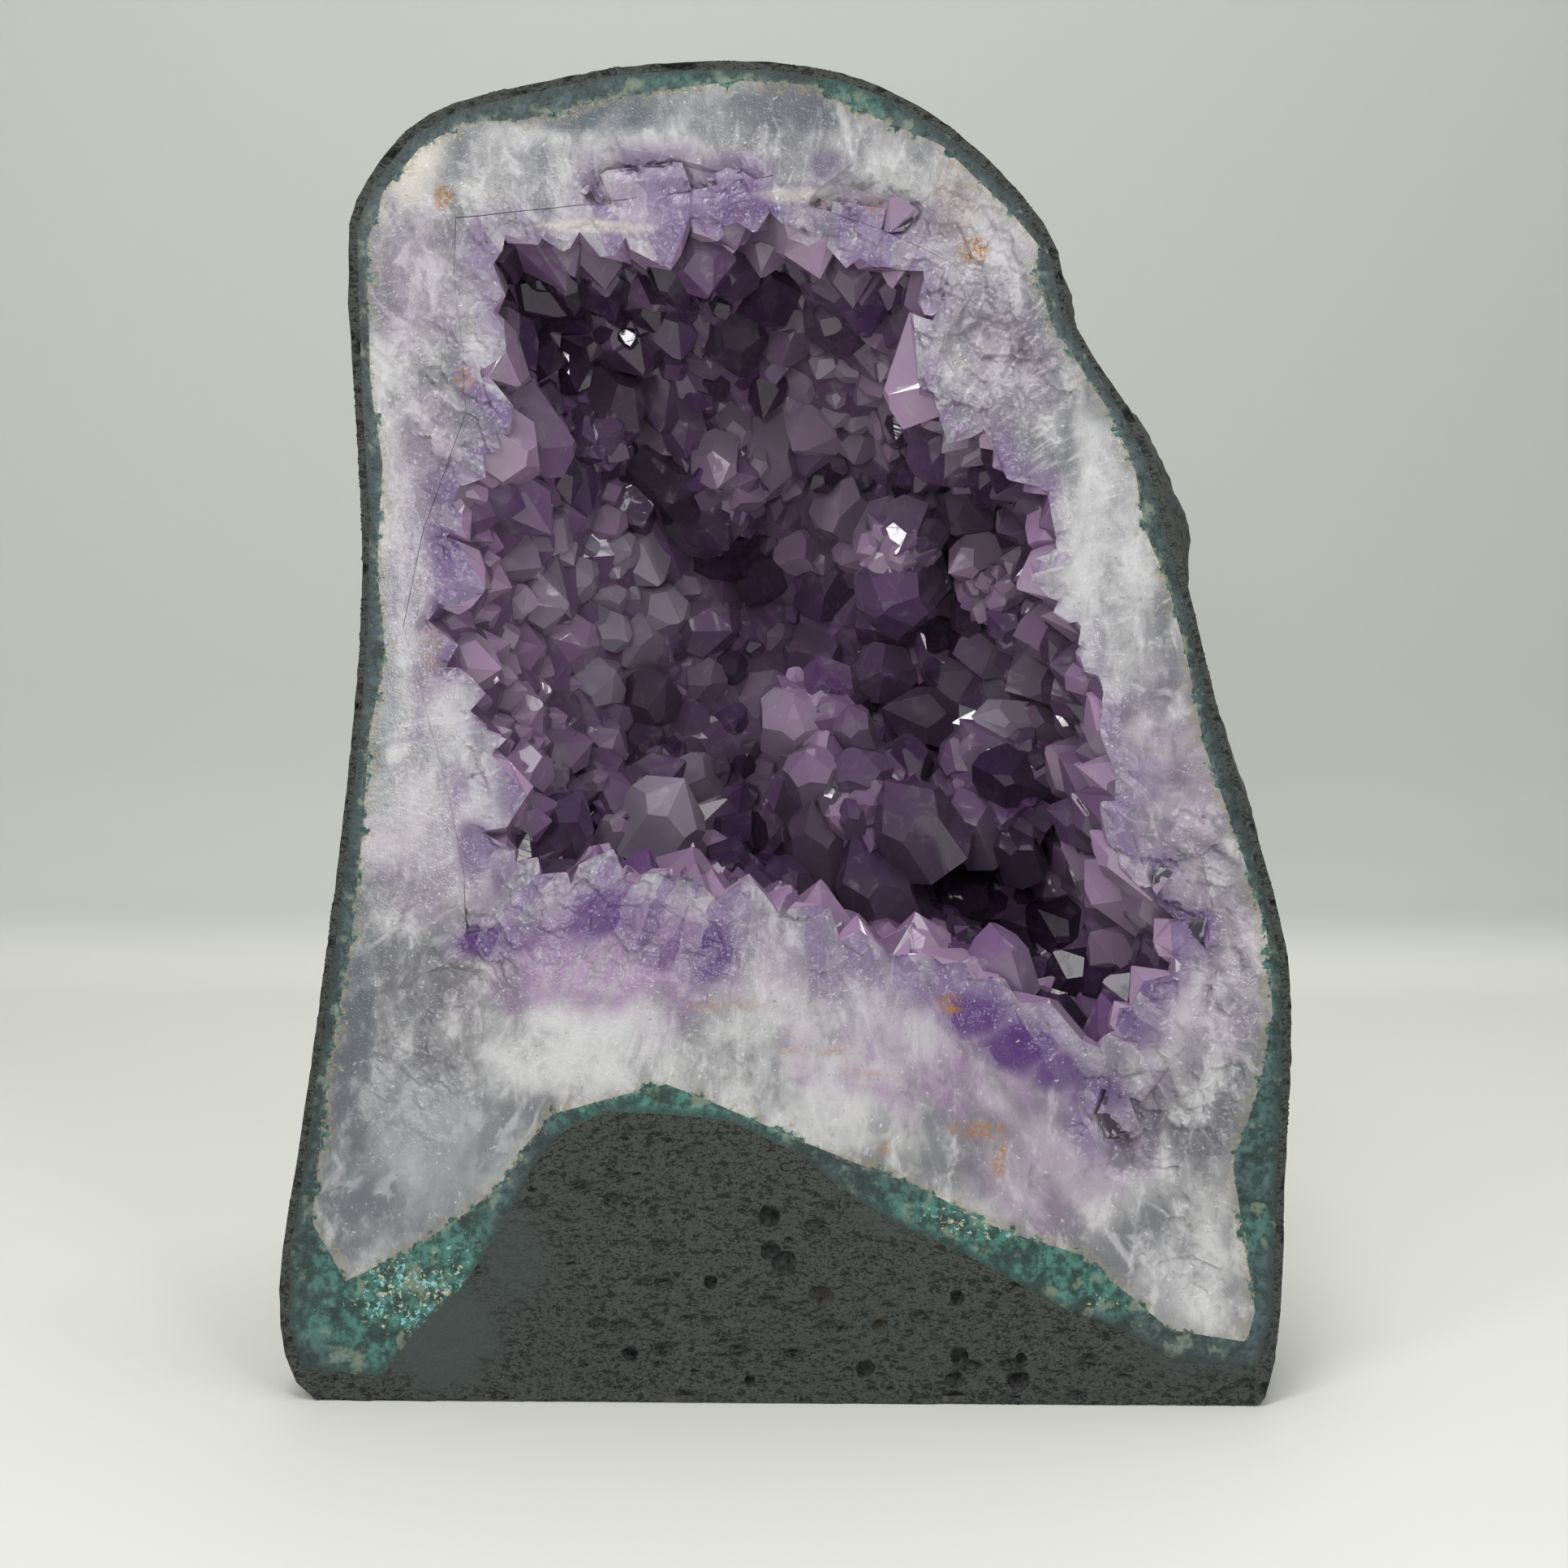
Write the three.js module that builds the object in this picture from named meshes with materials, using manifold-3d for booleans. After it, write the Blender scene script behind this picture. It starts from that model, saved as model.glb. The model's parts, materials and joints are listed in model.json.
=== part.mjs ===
// Amethyst cathedral geode: a basalt pocket sawn open at the front and sawn flat underneath.
// From outside to inside it has four layers: the basalt matrix, a thin green celadonite rind,
// a thick wall of pale quartz and agate, and a crust of amethyst crystals around the hollow.
// Millimetres, +Z up. The polished front leans back a little and faces -Y.
//
// Everything is drawn in the frame of the polished front, where X runs to the right, Y is the
// depth behind the front and Z runs up along it. The whole group is then leaned back.
import * as THREE from "three";
import { mergeVertices } from "three/addons/utils/BufferGeometryUtils.js";
import { ImprovedNoise } from "three/addons/math/ImprovedNoise.js";
import Module from "manifold-3d";

const wasm = await Module();
wasm.setup();
const { Manifold } = wasm;

// Driving dimensions.
const LEAN = THREE.MathUtils.degToRad(4); // how far the polished front leans back
const AXIS_HEIGHT = 140; // the layers are bowls around a line this far up the front
const AXIS_DROP = 14; // how far that line sinks from the front to the back
const AXIS_DRIFT = 12; // how far it moves to the right from the front to the back
const BODY_DEPTH = 114; // from the polished front to the back of the basalt
const BASALT_HOLLOW_DEPTH = 103;
const QUARTZ_DEPTH = 100;
const CAVITY_DEPTH = 84;
const HOLLOW_DEPTH = 75; // to the feet of the crystals at the back
const LAYER_FIT = 0.9955; // each layer is this share of the hollow it sits in, a gap of about 0.3 mm
const CRUST_EDGE = { around: 5.5, below: 12 }; // width of the crust sawn through on the front
const VALLEY_EDGE = { around: 2.5, below: 4 }; // how far the valleys lie outside the opening
const POINT_HEIGHT = { low: 3.5, high: 8.5 }; // how far the crust's crystal points stand up

// Outlines on the polished front, as [right, up], anticlockwise from the lower left. The body's
// own outline runs on below the sawn base, so that the base stays broad towards the back.
const BODY_OUTLINE = [
  [-74, -46], [72, -46], [80, -6], [86, 1.5], [88.6, 16], [89.4, 40], [90.4, 62],
  [90, 80], [84, 103], [78, 122], [72, 147], [66, 169], [61.5, 178], [51, 194.5],
  [49, 206], [42.5, 216], [30, 228], [19, 234.6], [10, 238], [-3, 240], [-18, 240],
  [-31, 239], [-44, 236.4], [-59, 233], [-68, 228], [-75, 219], [-78.3, 211],
  [-77.4, 181], [-76, 158], [-76.3, 138], [-77.6, 121], [-80, 98], [-84, 67],
  [-87.6, 42], [-90, 27], [-90.4, 13], [-87.5, 3], [-78, -6],
];
const BASALT_INNER_OUTLINE = [
  [-86.5, 5.5], [-72, 4.5], [-66, 12.5], [-57, 21], [-51, 31], [-45, 42], [-40, 48],
  [-32, 52], [-20, 51.5], [-10, 50.5], [3, 44.5], [10, 38.5], [21, 32], [34, 26],
  [44, 20.5], [51.5, 16.5], [60, 13.5], [70, 8], [84.5, 7], [87.2, 16], [87.9, 40],
  [88.8, 62], [88.3, 80], [82.3, 102.5], [76.3, 121.5], [70.4, 146.5], [64.5, 168.5],
  [60, 177.2], [49.5, 194], [47.4, 205.3], [41.3, 214.8], [29.2, 226.5], [18.5, 233.1],
  [9.6, 236.4], [-3, 238.4], [-18, 238.4], [-30.8, 237.4], [-43.5, 234.9],
  [-58.2, 231.4], [-66.8, 226.7], [-73.6, 218.2], [-76.7, 210.5], [-75.8, 181],
  [-74.4, 158], [-74.7, 138], [-76, 121], [-78.4, 98], [-82.4, 67], [-86, 42],
  [-88.4, 27], [-88.8, 14],
];
const QUARTZ_OUTLINE = [
  [-78.5, 21.5], [-67, 27], [-56.5, 34], [-50, 39.5], [-46.5, 45.5], [-41.5, 51.5],
  [-29, 55], [-21, 57], [-12, 53.5], [3, 47], [13, 43], [24, 39], [36, 32.5],
  [44, 29.5], [53, 27], [60, 21], [69, 13.5], [82.5, 11.5], [84, 17], [82, 30],
  [80, 43], [85, 58], [87, 70], [86, 85], [80, 103], [74.7, 118], [71.8, 133],
  [68.2, 147], [64.2, 156], [62.5, 167], [58.3, 176.6], [47.6, 193], [45, 202],
  [45.2, 207], [39.6, 213.5], [28, 224.7], [12, 231.5], [5, 235.6], [-8, 236.4],
  [-20, 235], [-35, 232.5], [-47, 229.5], [-57.5, 229.2], [-65.5, 224.5],
  [-72, 216.8], [-75, 207], [-74.2, 182], [-72, 168], [-73, 149], [-71.5, 134],
  [-74.4, 119], [-75.4, 104], [-77.6, 82], [-80.6, 66], [-82.7, 50], [-84.5, 32],
];
const OPENING_OUTLINE = [
  [-50, 91], [-42, 93], [-33, 94.5], [-22, 94], [-10, 91.5], [3, 87], [12, 81],
  [24, 79.5], [37, 76], [46, 68], [57, 63.5], [65, 72.5], [71.5, 83.5], [60, 96],
  [56.5, 106], [58.5, 116.5], [55, 127], [52, 139], [46.8, 157], [44.8, 167.6],
  [35, 172.8], [27.4, 179], [23.2, 186], [27.6, 199], [16, 204.5], [4, 209],
  [-2, 214], [-20, 211], [-39, 209], [-55.6, 208], [-55.6, 198], [-53.6, 185],
  [-52.6, 174.5], [-59.4, 155], [-62.8, 139], [-59.6, 128], [-55.4, 112], [-51, 99.5],
];

// Rosettes of crystals that stand out of the crust: centre as [right, depth, up], and radius.
const ROSETTES = [
  { at: [22, 41, 156], radius: 8.5 },
  { at: [41, 44, 149], radius: 8 },
  { at: [5, 42, 124], radius: 9.5 },
  { at: [15, 44, 106], radius: 14 },
  { at: [45, 46, 112], radius: 14 },
  { at: [-15, 60, 196], radius: 10 },
  { at: [-15, 58, 173], radius: 13 },
  { at: [-39, 44, 181], radius: 9.5 },
  { at: [-31, 50, 105], radius: 10 },
];
// Crystals along the front lip of the hollow's floor and sides, sawn through by the front:
// foot as [right, depth, up], width across, length and lean to the right in degrees.
const LIP_CRYSTALS = [
  { foot: [-47, 5, 84], width: 12, length: 13, lean: 8 },
  { foot: [-36, 6, 83], width: 14, length: 17, lean: 3 },
  { foot: [-27, 9, 82], width: 12, length: 14, lean: -10 },
  { foot: [-20, 6, 81], width: 13, length: 15, lean: 12 },
  { foot: [-11, 8, 80], width: 10, length: 15, lean: -6 },
  { foot: [-4, 5, 77], width: 14, length: 16, lean: 22 },
  { foot: [5, 7, 74], width: 11, length: 12, lean: 30 },
  { foot: [16, 6, 70], width: 14, length: 17, lean: 24 },
  { foot: [31, 8, 66], width: 18, length: 19, lean: 34 },
  { foot: [45, 5, 60], width: 11, length: 11, lean: 30 },
];
// Chips broken out of the polished quartz: centre on the front as [right, up], half width,
// half height and depth.
const CHIPS = [
  { at: [-20, 217], half: [25, 7.5], deep: 3.2 },
  { at: [14, 213], half: [15, 7], deep: 3.2 },
  { at: [36, 188], half: [11, 9], deep: 3 },
  { at: [70, 88], half: [9, 15], deep: 2.6 },
  { at: [62, 52], half: [9, 9], deep: 3 },
  { at: [-60, 74], half: [12, 6], deep: 2.4 },
];

const noise = new ImprovedNoise();

// A repeatable stream of numbers from 0 to 1.
function randomStream(seed) {
  let state = seed;
  return () => {
    state = (state + 0x6d2b79f5) | 0;
    let t = Math.imul(state ^ (state >>> 15), 1 | state);
    t = (t + Math.imul(t ^ (t >>> 7), 61 | t)) ^ t;
    return ((t ^ (t >>> 14)) >>> 0) / 4294967296;
  };
}

// The outline's points joined by a smooth closed curve, with some points between each two.
function smoothOutline(points, perPoint) {
  const curve = new THREE.CatmullRomCurve3(
    points.map(([x, z]) => new THREE.Vector3(x, 0, z)),
    true,
    "centripetal",
  );
  return curve.getPoints(points.length * perPoint).slice(0, -1);
}

// A point of a bowl that starts as an outline on the front and closes to a pole at its depth.
// turn is 0 on the front and 1 at the pole. squareness 2 is an ellipse, and more is boxier.
// Towards the back the outline is rounded off. A turn below 0 lies in front of the front.
function bowlPoint(rim, turn, bowl) {
  const spoke = new THREE.Vector3(rim.x, 0, rim.z - AXIS_HEIGHT);
  if (turn < 0) {
    spoke.multiplyScalar((1 + turn) ** 0.2);
    return new THREE.Vector3(spoke.x, 30 * turn, AXIS_HEIGHT + spoke.z);
  }
  const angle = (turn * Math.PI) / 2;
  const along = Math.sin(angle) ** (2 / bowl.squareness);
  const shrink = Math.max(0, Math.cos(angle)) ** (2 / bowl.squareness);
  const belly = 1 + bowl.belly(rim) * Math.sin(Math.PI * Math.min(1, along * 1.25));
  const round = THREE.MathUtils.lerp(spoke.length(), bowl.roundRadius, 0.9 * turn * turn);
  spoke.setLength(round * shrink * belly);
  const back = (bowl.depth * along) / BODY_DEPTH;
  const right = AXIS_DRIFT * back + spoke.x;
  return new THREE.Vector3(right, bowl.depth * along, AXIS_HEIGHT - AXIS_DROP * back + spoke.z);
}

// The surface of a bowl as rings of points, the first on the front and the last its pole.
function bowlRings(bowl) {
  const rings = [];
  for (let ring = 0; ring < bowl.rings; ring += 1) {
    const turn = (ring / bowl.rings) ** bowl.crowding;
    rings.push(
      bowl.outline.map((rim) => {
        const point = bowlPoint(rim, turn, bowl);
        return ring === 0 ? point : roughen(point, turn, bowl);
      }),
    );
  }
  rings.push([bowlPoint(bowl.outline[0], 1, bowl)]);
  return rings;
}

// Moves a point away from the bowl's middle by coarse and fine noise, less near its ends.
function roughen(point, turn, bowl) {
  const middle = new THREE.Vector3(0, bowl.depth * 0.3, AXIS_HEIGHT);
  const outward = point.clone().sub(middle).normalize();
  const coarse = noise.noise(point.x / bowl.lump, point.y / bowl.lump, point.z / bowl.lump);
  const fine = noise.noise(point.x / 9 + 7, point.y / 9 + 3, point.z / 9 + 11);
  const ends = Math.min(1, point.y / 8, 3 * (1 - turn));
  point.addScaledVector(outward, bowl.roughness * (0.3 + coarse + 0.45 * fine) * ends);
  point.y = Math.max(point.y, 1.5);
  return point;
}

// Triangles over a bowl's rings, facing away from its middle.
function bowlFaces(rings, firstIndex) {
  const faces = [];
  const count = rings[0].length;
  const at = (ring, i) => firstIndex + ring * count + (i % count);
  const last = rings.length - 1;
  for (let ring = 0; ring < last; ring += 1) {
    for (let i = 0; i < count; i += 1) {
      if (ring === last - 1) {
        faces.push([at(ring, i), firstIndex + last * count, at(ring, i + 1)]);
      } else {
        faces.push([at(ring, i), at(ring + 1, i), at(ring + 1, i + 1)]);
        faces.push([at(ring, i), at(ring + 1, i + 1), at(ring, i + 1)]);
      }
    }
  }
  return faces;
}

// Triangles of the flat front between an outline and the outlines of its holes.
function frontFaces(outline, holes) {
  const flat = (points) => points.map((p) => new THREE.Vector2(p.x, p.z));
  return THREE.ShapeUtils.triangulateShape(flat(outline), holes.map(flat));
}

function geometryOf(points, faces) {
  const geometry = new THREE.BufferGeometry().setFromPoints(points);
  geometry.setIndex(faces.flat());
  return geometry;
}

// A bowl closed by its flat front, or the layer between two bowls if an inner one is given.
function layerSolid(outer, inner) {
  const outerRings = bowlRings(outer);
  const points = outerRings.flat();
  const faces = bowlFaces(outerRings, 0);
  const holes = [];
  if (inner) {
    const innerRings = bowlRings(inner);
    const first = points.length;
    points.push(...innerRings.flat());
    faces.push(...bowlFaces(innerRings, first).map(([a, b, c]) => [a, c, b]));
    holes.push({ ring: innerRings[0], first });
  }
  const rimCount = outerRings[0].length;
  const rimIndex = (i) => (i < rimCount ? i : holes[0].first + i - rimCount);
  const front = frontFaces(outerRings[0], holes.map((hole) => hole.ring));
  faces.push(...front.map(([a, b, c]) => [rimIndex(a), rimIndex(b), rimIndex(c)]));
  return solidOf(geometryOf(points, faces));
}

function barePositions(geometry) {
  const bare = geometry.clone();
  bare.deleteAttribute("normal");
  bare.deleteAttribute("uv");
  return bare;
}

// A closed geometry as a solid that can be joined and cut. An inside-out one is turned round.
function solidOf(geometry) {
  const merged = mergeVertices(barePositions(geometry), 1e-4);
  const vertProperties = new Float32Array(merged.attributes.position.array);
  const triVerts = new Uint32Array(merged.index.array);
  const solid = new Manifold(new wasm.Mesh({ numProp: 3, vertProperties, triVerts }));
  if (solid.volume() > 0) return solid;
  for (let i = 0; i < triVerts.length; i += 3) {
    [triVerts[i + 1], triVerts[i + 2]] = [triVerts[i + 2], triVerts[i + 1]];
  }
  return new Manifold(new wasm.Mesh({ numProp: 3, vertProperties, triVerts }));
}

function meshOf(name, solid, material) {
  const { numProp, vertProperties, triVerts } = solid.getMesh();
  const positions = new Float32Array((vertProperties.length / numProp) * 3);
  for (let i = 0; i < positions.length / 3; i += 1) {
    positions.set(vertProperties.subarray(i * numProp, i * numProp + 3), i * 3);
  }
  const geometry = new THREE.BufferGeometry();
  geometry.setAttribute("position", new THREE.BufferAttribute(positions, 3));
  geometry.setIndex(new THREE.BufferAttribute(new Uint32Array(triVerts), 1));
  geometry.computeVertexNormals();
  const mesh = new THREE.Mesh(geometry, material);
  mesh.name = name;
  return mesh;
}

// The same solid made smaller about the middle of the front, so that it fits in its hollow.
function fitted(solid, share) {
  const back = [0, 0, -AXIS_HEIGHT];
  return solid.translate(back).scale([share, share, share]).translate([0, 0, AXIS_HEIGHT]);
}

// The largest body of a solid, without loose splinters and without closed pockets.
function largestBody(solid) {
  return solid.decompose().reduce((best, body) => (body.volume() > best.volume() ? body : best));
}

// Every spoke of an outline made longer, by other amounts around and below.
function widened(outline, { around, below }) {
  return outline.map((rim) => {
    const spoke = new THREE.Vector3(rim.x, 0, rim.z - AXIS_HEIGHT);
    const down = THREE.MathUtils.smoothstep(-spoke.z / spoke.length(), 0.45, 0.85);
    spoke.setLength(spoke.length() + THREE.MathUtils.lerp(around, below, down));
    return new THREE.Vector3(spoke.x, 0, AXIS_HEIGHT + spoke.z);
  });
}

// How far a bowl swells out behind its outline: all round, and more on the upper right flank.
function swelling(allRound, flank) {
  return (rim) => {
    const angle = Math.atan2(rim.z - AXIS_HEIGHT, rim.x);
    return allRound + flank * Math.exp(-(((angle - 0.45) / 0.55) ** 2));
  };
}

// Bowls of the layers.
const body = {
  outline: smoothOutline(BODY_OUTLINE, 2),
  depth: BODY_DEPTH,
  squareness: 2.5,
  roundRadius: 90,
  belly: swelling(0.03, 0.045),
  rings: 9,
  crowding: 1.3,
  lump: 23,
  roughness: 4,
};
const basaltHollow = {
  ...body,
  outline: smoothOutline(BASALT_INNER_OUTLINE, 1),
  depth: BASALT_HOLLOW_DEPTH,
  roundRadius: 84,
  belly: swelling(-0.015, 0.035),
  rings: 5,
  roughness: 0,
};
const quartzOuter = {
  ...basaltHollow,
  outline: smoothOutline(QUARTZ_OUTLINE, 1),
  depth: QUARTZ_DEPTH,
};
const opening = smoothOutline(OPENING_OUTLINE, 1);
const hollow = {
  outline: widened(opening, VALLEY_EDGE),
  depth: HOLLOW_DEPTH,
  squareness: 2.6,
  roundRadius: 64,
  belly: swelling(-0.04, 0.03),
};
const cavity = {
  ...hollow,
  outline: widened(opening, CRUST_EDGE),
  depth: CAVITY_DEPTH,
  rings: 6,
  crowding: 1.1,
  lump: 17,
  roughness: 0,
};

function baseSaw() {
  const block = new THREE.BoxGeometry(400, 400, 200);
  block.translate(0, 100, -100);
  block.rotateX(LEAN);
  return solidOf(block);
}

// Gas pits in the sawn basalt under the quartz and over the rough skin.
function gasPits(skin) {
  const random = randomStream(11);
  const pits = [];
  const addPit = (x, y, z, radius) => {
    const pit = new THREE.IcosahedronGeometry(radius, 0);
    pit.rotateZ(random() * Math.PI);
    pit.translate(x, y, z);
    pits.push(solidOf(pit));
  };
  for (let i = 0; i < 15; i += 1) {
    const across = random();
    const top = 44 - 34 * Math.abs(across - 0.42) * 1.8;
    addPit(-46 + 104 * across, 0.4, 3 + (top - 8) * random(), 1.1 + 1.6 * random());
  }
  for (let i = 0; i < 10; i += 1) {
    const rim = skin.outline[Math.floor(random() * skin.outline.length)];
    const spot = bowlPoint(rim, 0.2 + 0.7 * random(), skin);
    addPit(spot.x, spot.y, spot.z, 2.4 + 2.2 * random());
  }
  return Manifold.union(pits);
}

function basaltMatrix() {
  return layerSolid(body, basaltHollow).subtract(baseSaw()).subtract(gasPits(body));
}

function celadoniteRind() {
  const shell = layerSolid(basaltHollow, null);
  return fitted(shell, LAYER_FIT).subtract(layerSolid(quartzOuter, null));
}

// Shallow shell-shaped breaks where the polished quartz has chipped.
function chipCutter({ at, half, deep }) {
  const ball = new THREE.SphereGeometry(1, 8, 5);
  ball.scale(half[0], deep * 2.2, half[1]);
  ball.translate(at[0], -deep * 1.2, at[1]);
  return solidOf(ball);
}

function quartzWall() {
  const wall = fitted(layerSolid(quartzOuter, null), LAYER_FIT).subtract(layerSolid(cavity, null));
  return wall.subtract(Manifold.union(CHIPS.map(chipCutter)));
}

// One quartz crystal along +Y from its foot at the origin: a six-sided point, whose tip is a
// little off the middle, on a six-sided column that can be left out.
function crystal(width, column, random) {
  const radius = width / 2;
  const length = column + width * 0.6;
  const foot = [new THREE.Vector2(0, 0), new THREE.Vector2(radius, 0)];
  const shoulder = column > 0 ? [new THREE.Vector2(radius, column)] : [];
  const profile = [...foot, ...shoulder, new THREE.Vector2(0, length)];
  const geometry = new THREE.LatheGeometry(profile, 6);
  const tipShift = new THREE.Vector2(random() - 0.5, random() - 0.5).multiplyScalar(width * 0.3);
  const places = geometry.attributes.position;
  for (let i = 0; i < places.count; i += 1) {
    if (places.getY(i) > length - 1e-3) {
      places.setX(i, places.getX(i) + tipShift.x);
      places.setZ(i, places.getZ(i) + tipShift.y);
    }
  }
  geometry.scale(1, 1, 0.82 + 0.3 * random());
  geometry.rotateY(random() * Math.PI);
  return geometry;
}

function standCrystal(foot, direction, width, column, random) {
  const geometry = crystal(width, column, random);
  const turn = new THREE.Quaternion().setFromUnitVectors(new THREE.Vector3(0, 1, 0), direction);
  geometry.applyQuaternion(turn);
  geometry.translate(foot.x, foot.y, foot.z);
  return solidOf(geometry);
}

function randomVector(random) {
  return new THREE.Vector3(random() - 0.5, random() - 0.5, random() - 0.5);
}

// The hollow of the crust: a ball whose faces are those of six-sided crystal points. The tips
// are the corners of an icosphere and the valleys between them lie over its faces.
function crystalHollow() {
  const random = randomStream(5);
  const curve = new THREE.CatmullRomCurve3(hollow.outline, true, "centripetal");
  const sphere = mergeVertices(barePositions(new THREE.IcosahedronGeometry(1, 5)), 1e-4);
  const onWall = (direction) => {
    const around = Math.atan2(direction.z, direction.x) / (2 * Math.PI) + 0.625;
    const rise = Math.asin(direction.y);
    const turn = rise > 0 ? Math.atan(Math.tan(rise) ** (hollow.squareness / 2)) : rise;
    return bowlPoint(curve.getPointAt(around % 1), turn / (Math.PI / 2), hollow);
  };
  const inwardOf = (point) => {
    const target = new THREE.Vector3(point.x * 0.2, point.y * 0.5 - 6, 135);
    return target.sub(point).normalize();
  };
  const directions = [];
  const points = [];
  for (let i = 0; i < sphere.attributes.position.count; i += 1) {
    const direction = new THREE.Vector3().fromBufferAttribute(sphere.attributes.position, i);
    direction.addScaledVector(randomVector(random), 0.13).normalize();
    directions.push(direction);
    const tip = onWall(direction);
    const height = THREE.MathUtils.lerp(POINT_HEIGHT.low, POINT_HEIGHT.high, random());
    points.push(tip.addScaledVector(inwardOf(tip), height));
  }
  const corners = sphere.index.array;
  const faceOfEdge = new Map();
  for (let i = 0; i < corners.length; i += 3) {
    const triple = [corners[i], corners[i + 1], corners[i + 2]];
    const middle = triple.reduce((sum, at) => sum.add(directions[at]), new THREE.Vector3());
    const valley = onWall(middle.normalize());
    points.push(valley.addScaledVector(inwardOf(valley), 1.5 * random()));
    triple.forEach((at, k) => faceOfEdge.set(`${at} ${triple[(k + 1) % 3]}`, points.length - 1));
  }
  const faces = [];
  faceOfEdge.forEach((left, edge) => {
    const [from, to] = edge.split(" ").map(Number);
    faces.push([from, faceOfEdge.get(`${to} ${from}`), left]);
  });
  return solidOf(geometryOf(points, faces));
}

// A ball of crystals on a stalk that reaches back to the wall.
function rosetteCrystals({ at, radius }, random) {
  const centre = new THREE.Vector3(...at);
  const root = new THREE.Vector3(0, -30, AXIS_HEIGHT);
  const outward = centre.clone().sub(root).normalize();
  const crystals = [];
  const stalk = centre.clone().addScaledVector(outward, 50);
  crystals.push(standCrystal(stalk, outward.clone().negate(), radius * 1.5, 50, random));
  const count = radius > 11 ? 6 : 4;
  for (let i = 0; i < count; i += 1) {
    const height = 0.95 - (1.35 * (i + 0.5)) / count;
    const around = i * Math.PI * (3 - Math.sqrt(5));
    const flat = Math.sqrt(1 - height * height);
    const direction = new THREE.Vector3(flat * Math.cos(around), -height, flat * Math.sin(around));
    direction.addScaledVector(randomVector(random), 0.35).normalize();
    const width = radius * (1.05 + 0.2 * random());
    crystals.push(standCrystal(centre, direction, width, radius * (0.45 + 0.2 * random()), random));
  }
  return crystals;
}

function lipCrystal({ foot, width, length, lean }, random) {
  const angle = THREE.MathUtils.degToRad(lean);
  const direction = new THREE.Vector3(Math.sin(angle), -0.05, Math.cos(angle)).normalize();
  const start = new THREE.Vector3(...foot).addScaledVector(direction, -8);
  return standCrystal(start, direction, width, length + 8 - 0.6 * width, random);
}

function amethystCrust() {
  const random = randomStream(3);
  const room = layerSolid(cavity, null);
  const crystals = [
    ...ROSETTES.flatMap((rosette) => rosetteCrystals(rosette, random)),
    ...LIP_CRYSTALS.map((lip) => lipCrystal(lip, random)),
  ];
  const grown = Manifold.union([room.subtract(crystalHollow()), ...crystals]).intersect(room);
  return fitted(largestBody(grown), LAYER_FIT);
}

const MATERIALS = {
  basalt: new THREE.MeshStandardMaterial({ color: 0x34363a, roughness: 0.95, metalness: 0 }),
  celadonite: new THREE.MeshStandardMaterial({ color: 0x3f7670, roughness: 0.6, metalness: 0 }),
  quartz: new THREE.MeshStandardMaterial({ color: 0xc9c2d0, roughness: 0.25, metalness: 0 }),
  amethyst: new THREE.MeshStandardMaterial({ color: 0x6d4a86, roughness: 0.12, metalness: 0 }),
};

const geode = new THREE.Group();
geode.add(
  meshOf("basalt_matrix", basaltMatrix(), MATERIALS.basalt),
  meshOf("celadonite_rind", celadoniteRind(), MATERIALS.celadonite),
  meshOf("quartz_wall", quartzWall(), MATERIALS.quartz),
  meshOf("amethyst_crust", amethystCrust(), MATERIALS.amethyst),
);
geode.rotation.x = -LEAN;

// The origin is the middle of the base's footprint, seen as the box around the whole geode.
geode.updateMatrixWorld(true);
const middle = new THREE.Box3().setFromObject(geode, true).getCenter(new THREE.Vector3());
geode.position.set(-middle.x, -middle.y, 0);

export default geode;
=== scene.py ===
"""Looks of the amethyst cathedral geode: basalt, celadonite rind, polished quartz and crystals."""

import json
import math
import random

import bmesh
import bpy
import numpy as np
from mathutils import Matrix, Vector, kdtree, noise

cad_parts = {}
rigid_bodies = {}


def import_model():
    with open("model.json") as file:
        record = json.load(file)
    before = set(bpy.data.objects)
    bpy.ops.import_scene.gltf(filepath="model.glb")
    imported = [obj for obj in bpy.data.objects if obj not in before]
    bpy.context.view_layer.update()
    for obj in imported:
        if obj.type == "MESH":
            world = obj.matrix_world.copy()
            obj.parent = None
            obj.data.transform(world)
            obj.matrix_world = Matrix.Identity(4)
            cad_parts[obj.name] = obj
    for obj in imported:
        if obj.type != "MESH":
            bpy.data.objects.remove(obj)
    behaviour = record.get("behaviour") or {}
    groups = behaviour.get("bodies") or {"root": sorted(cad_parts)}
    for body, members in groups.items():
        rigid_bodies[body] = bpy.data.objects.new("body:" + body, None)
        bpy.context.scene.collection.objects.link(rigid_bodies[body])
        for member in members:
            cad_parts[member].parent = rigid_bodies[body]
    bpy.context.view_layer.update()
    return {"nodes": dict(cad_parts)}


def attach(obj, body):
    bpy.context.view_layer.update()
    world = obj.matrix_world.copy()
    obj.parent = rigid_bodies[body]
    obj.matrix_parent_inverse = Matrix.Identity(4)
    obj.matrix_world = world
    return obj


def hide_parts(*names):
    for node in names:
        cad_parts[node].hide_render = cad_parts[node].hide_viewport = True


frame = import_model()

# Unseeded, the wobble of the zones would follow the clock.
NOISE_SEED = 5
noise.seed_set(NOISE_SEED)

# The frame of the polished front: right, depth behind the front and up along it, in millimetres.
MM = 0.001
LEAN = math.radians(4)
FRONT_ORIGIN = Vector((-0.0023907, -0.0617646, 0.0))
TO_ROW = Matrix.Translation(FRONT_ORIGIN) @ Matrix.Rotation(-LEAN, 4, "X") @ Matrix.Scale(MM, 4)
TO_FRONT = TO_ROW.inverted()
ROW_TURN = TO_ROW.to_3x3().normalized()

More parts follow.
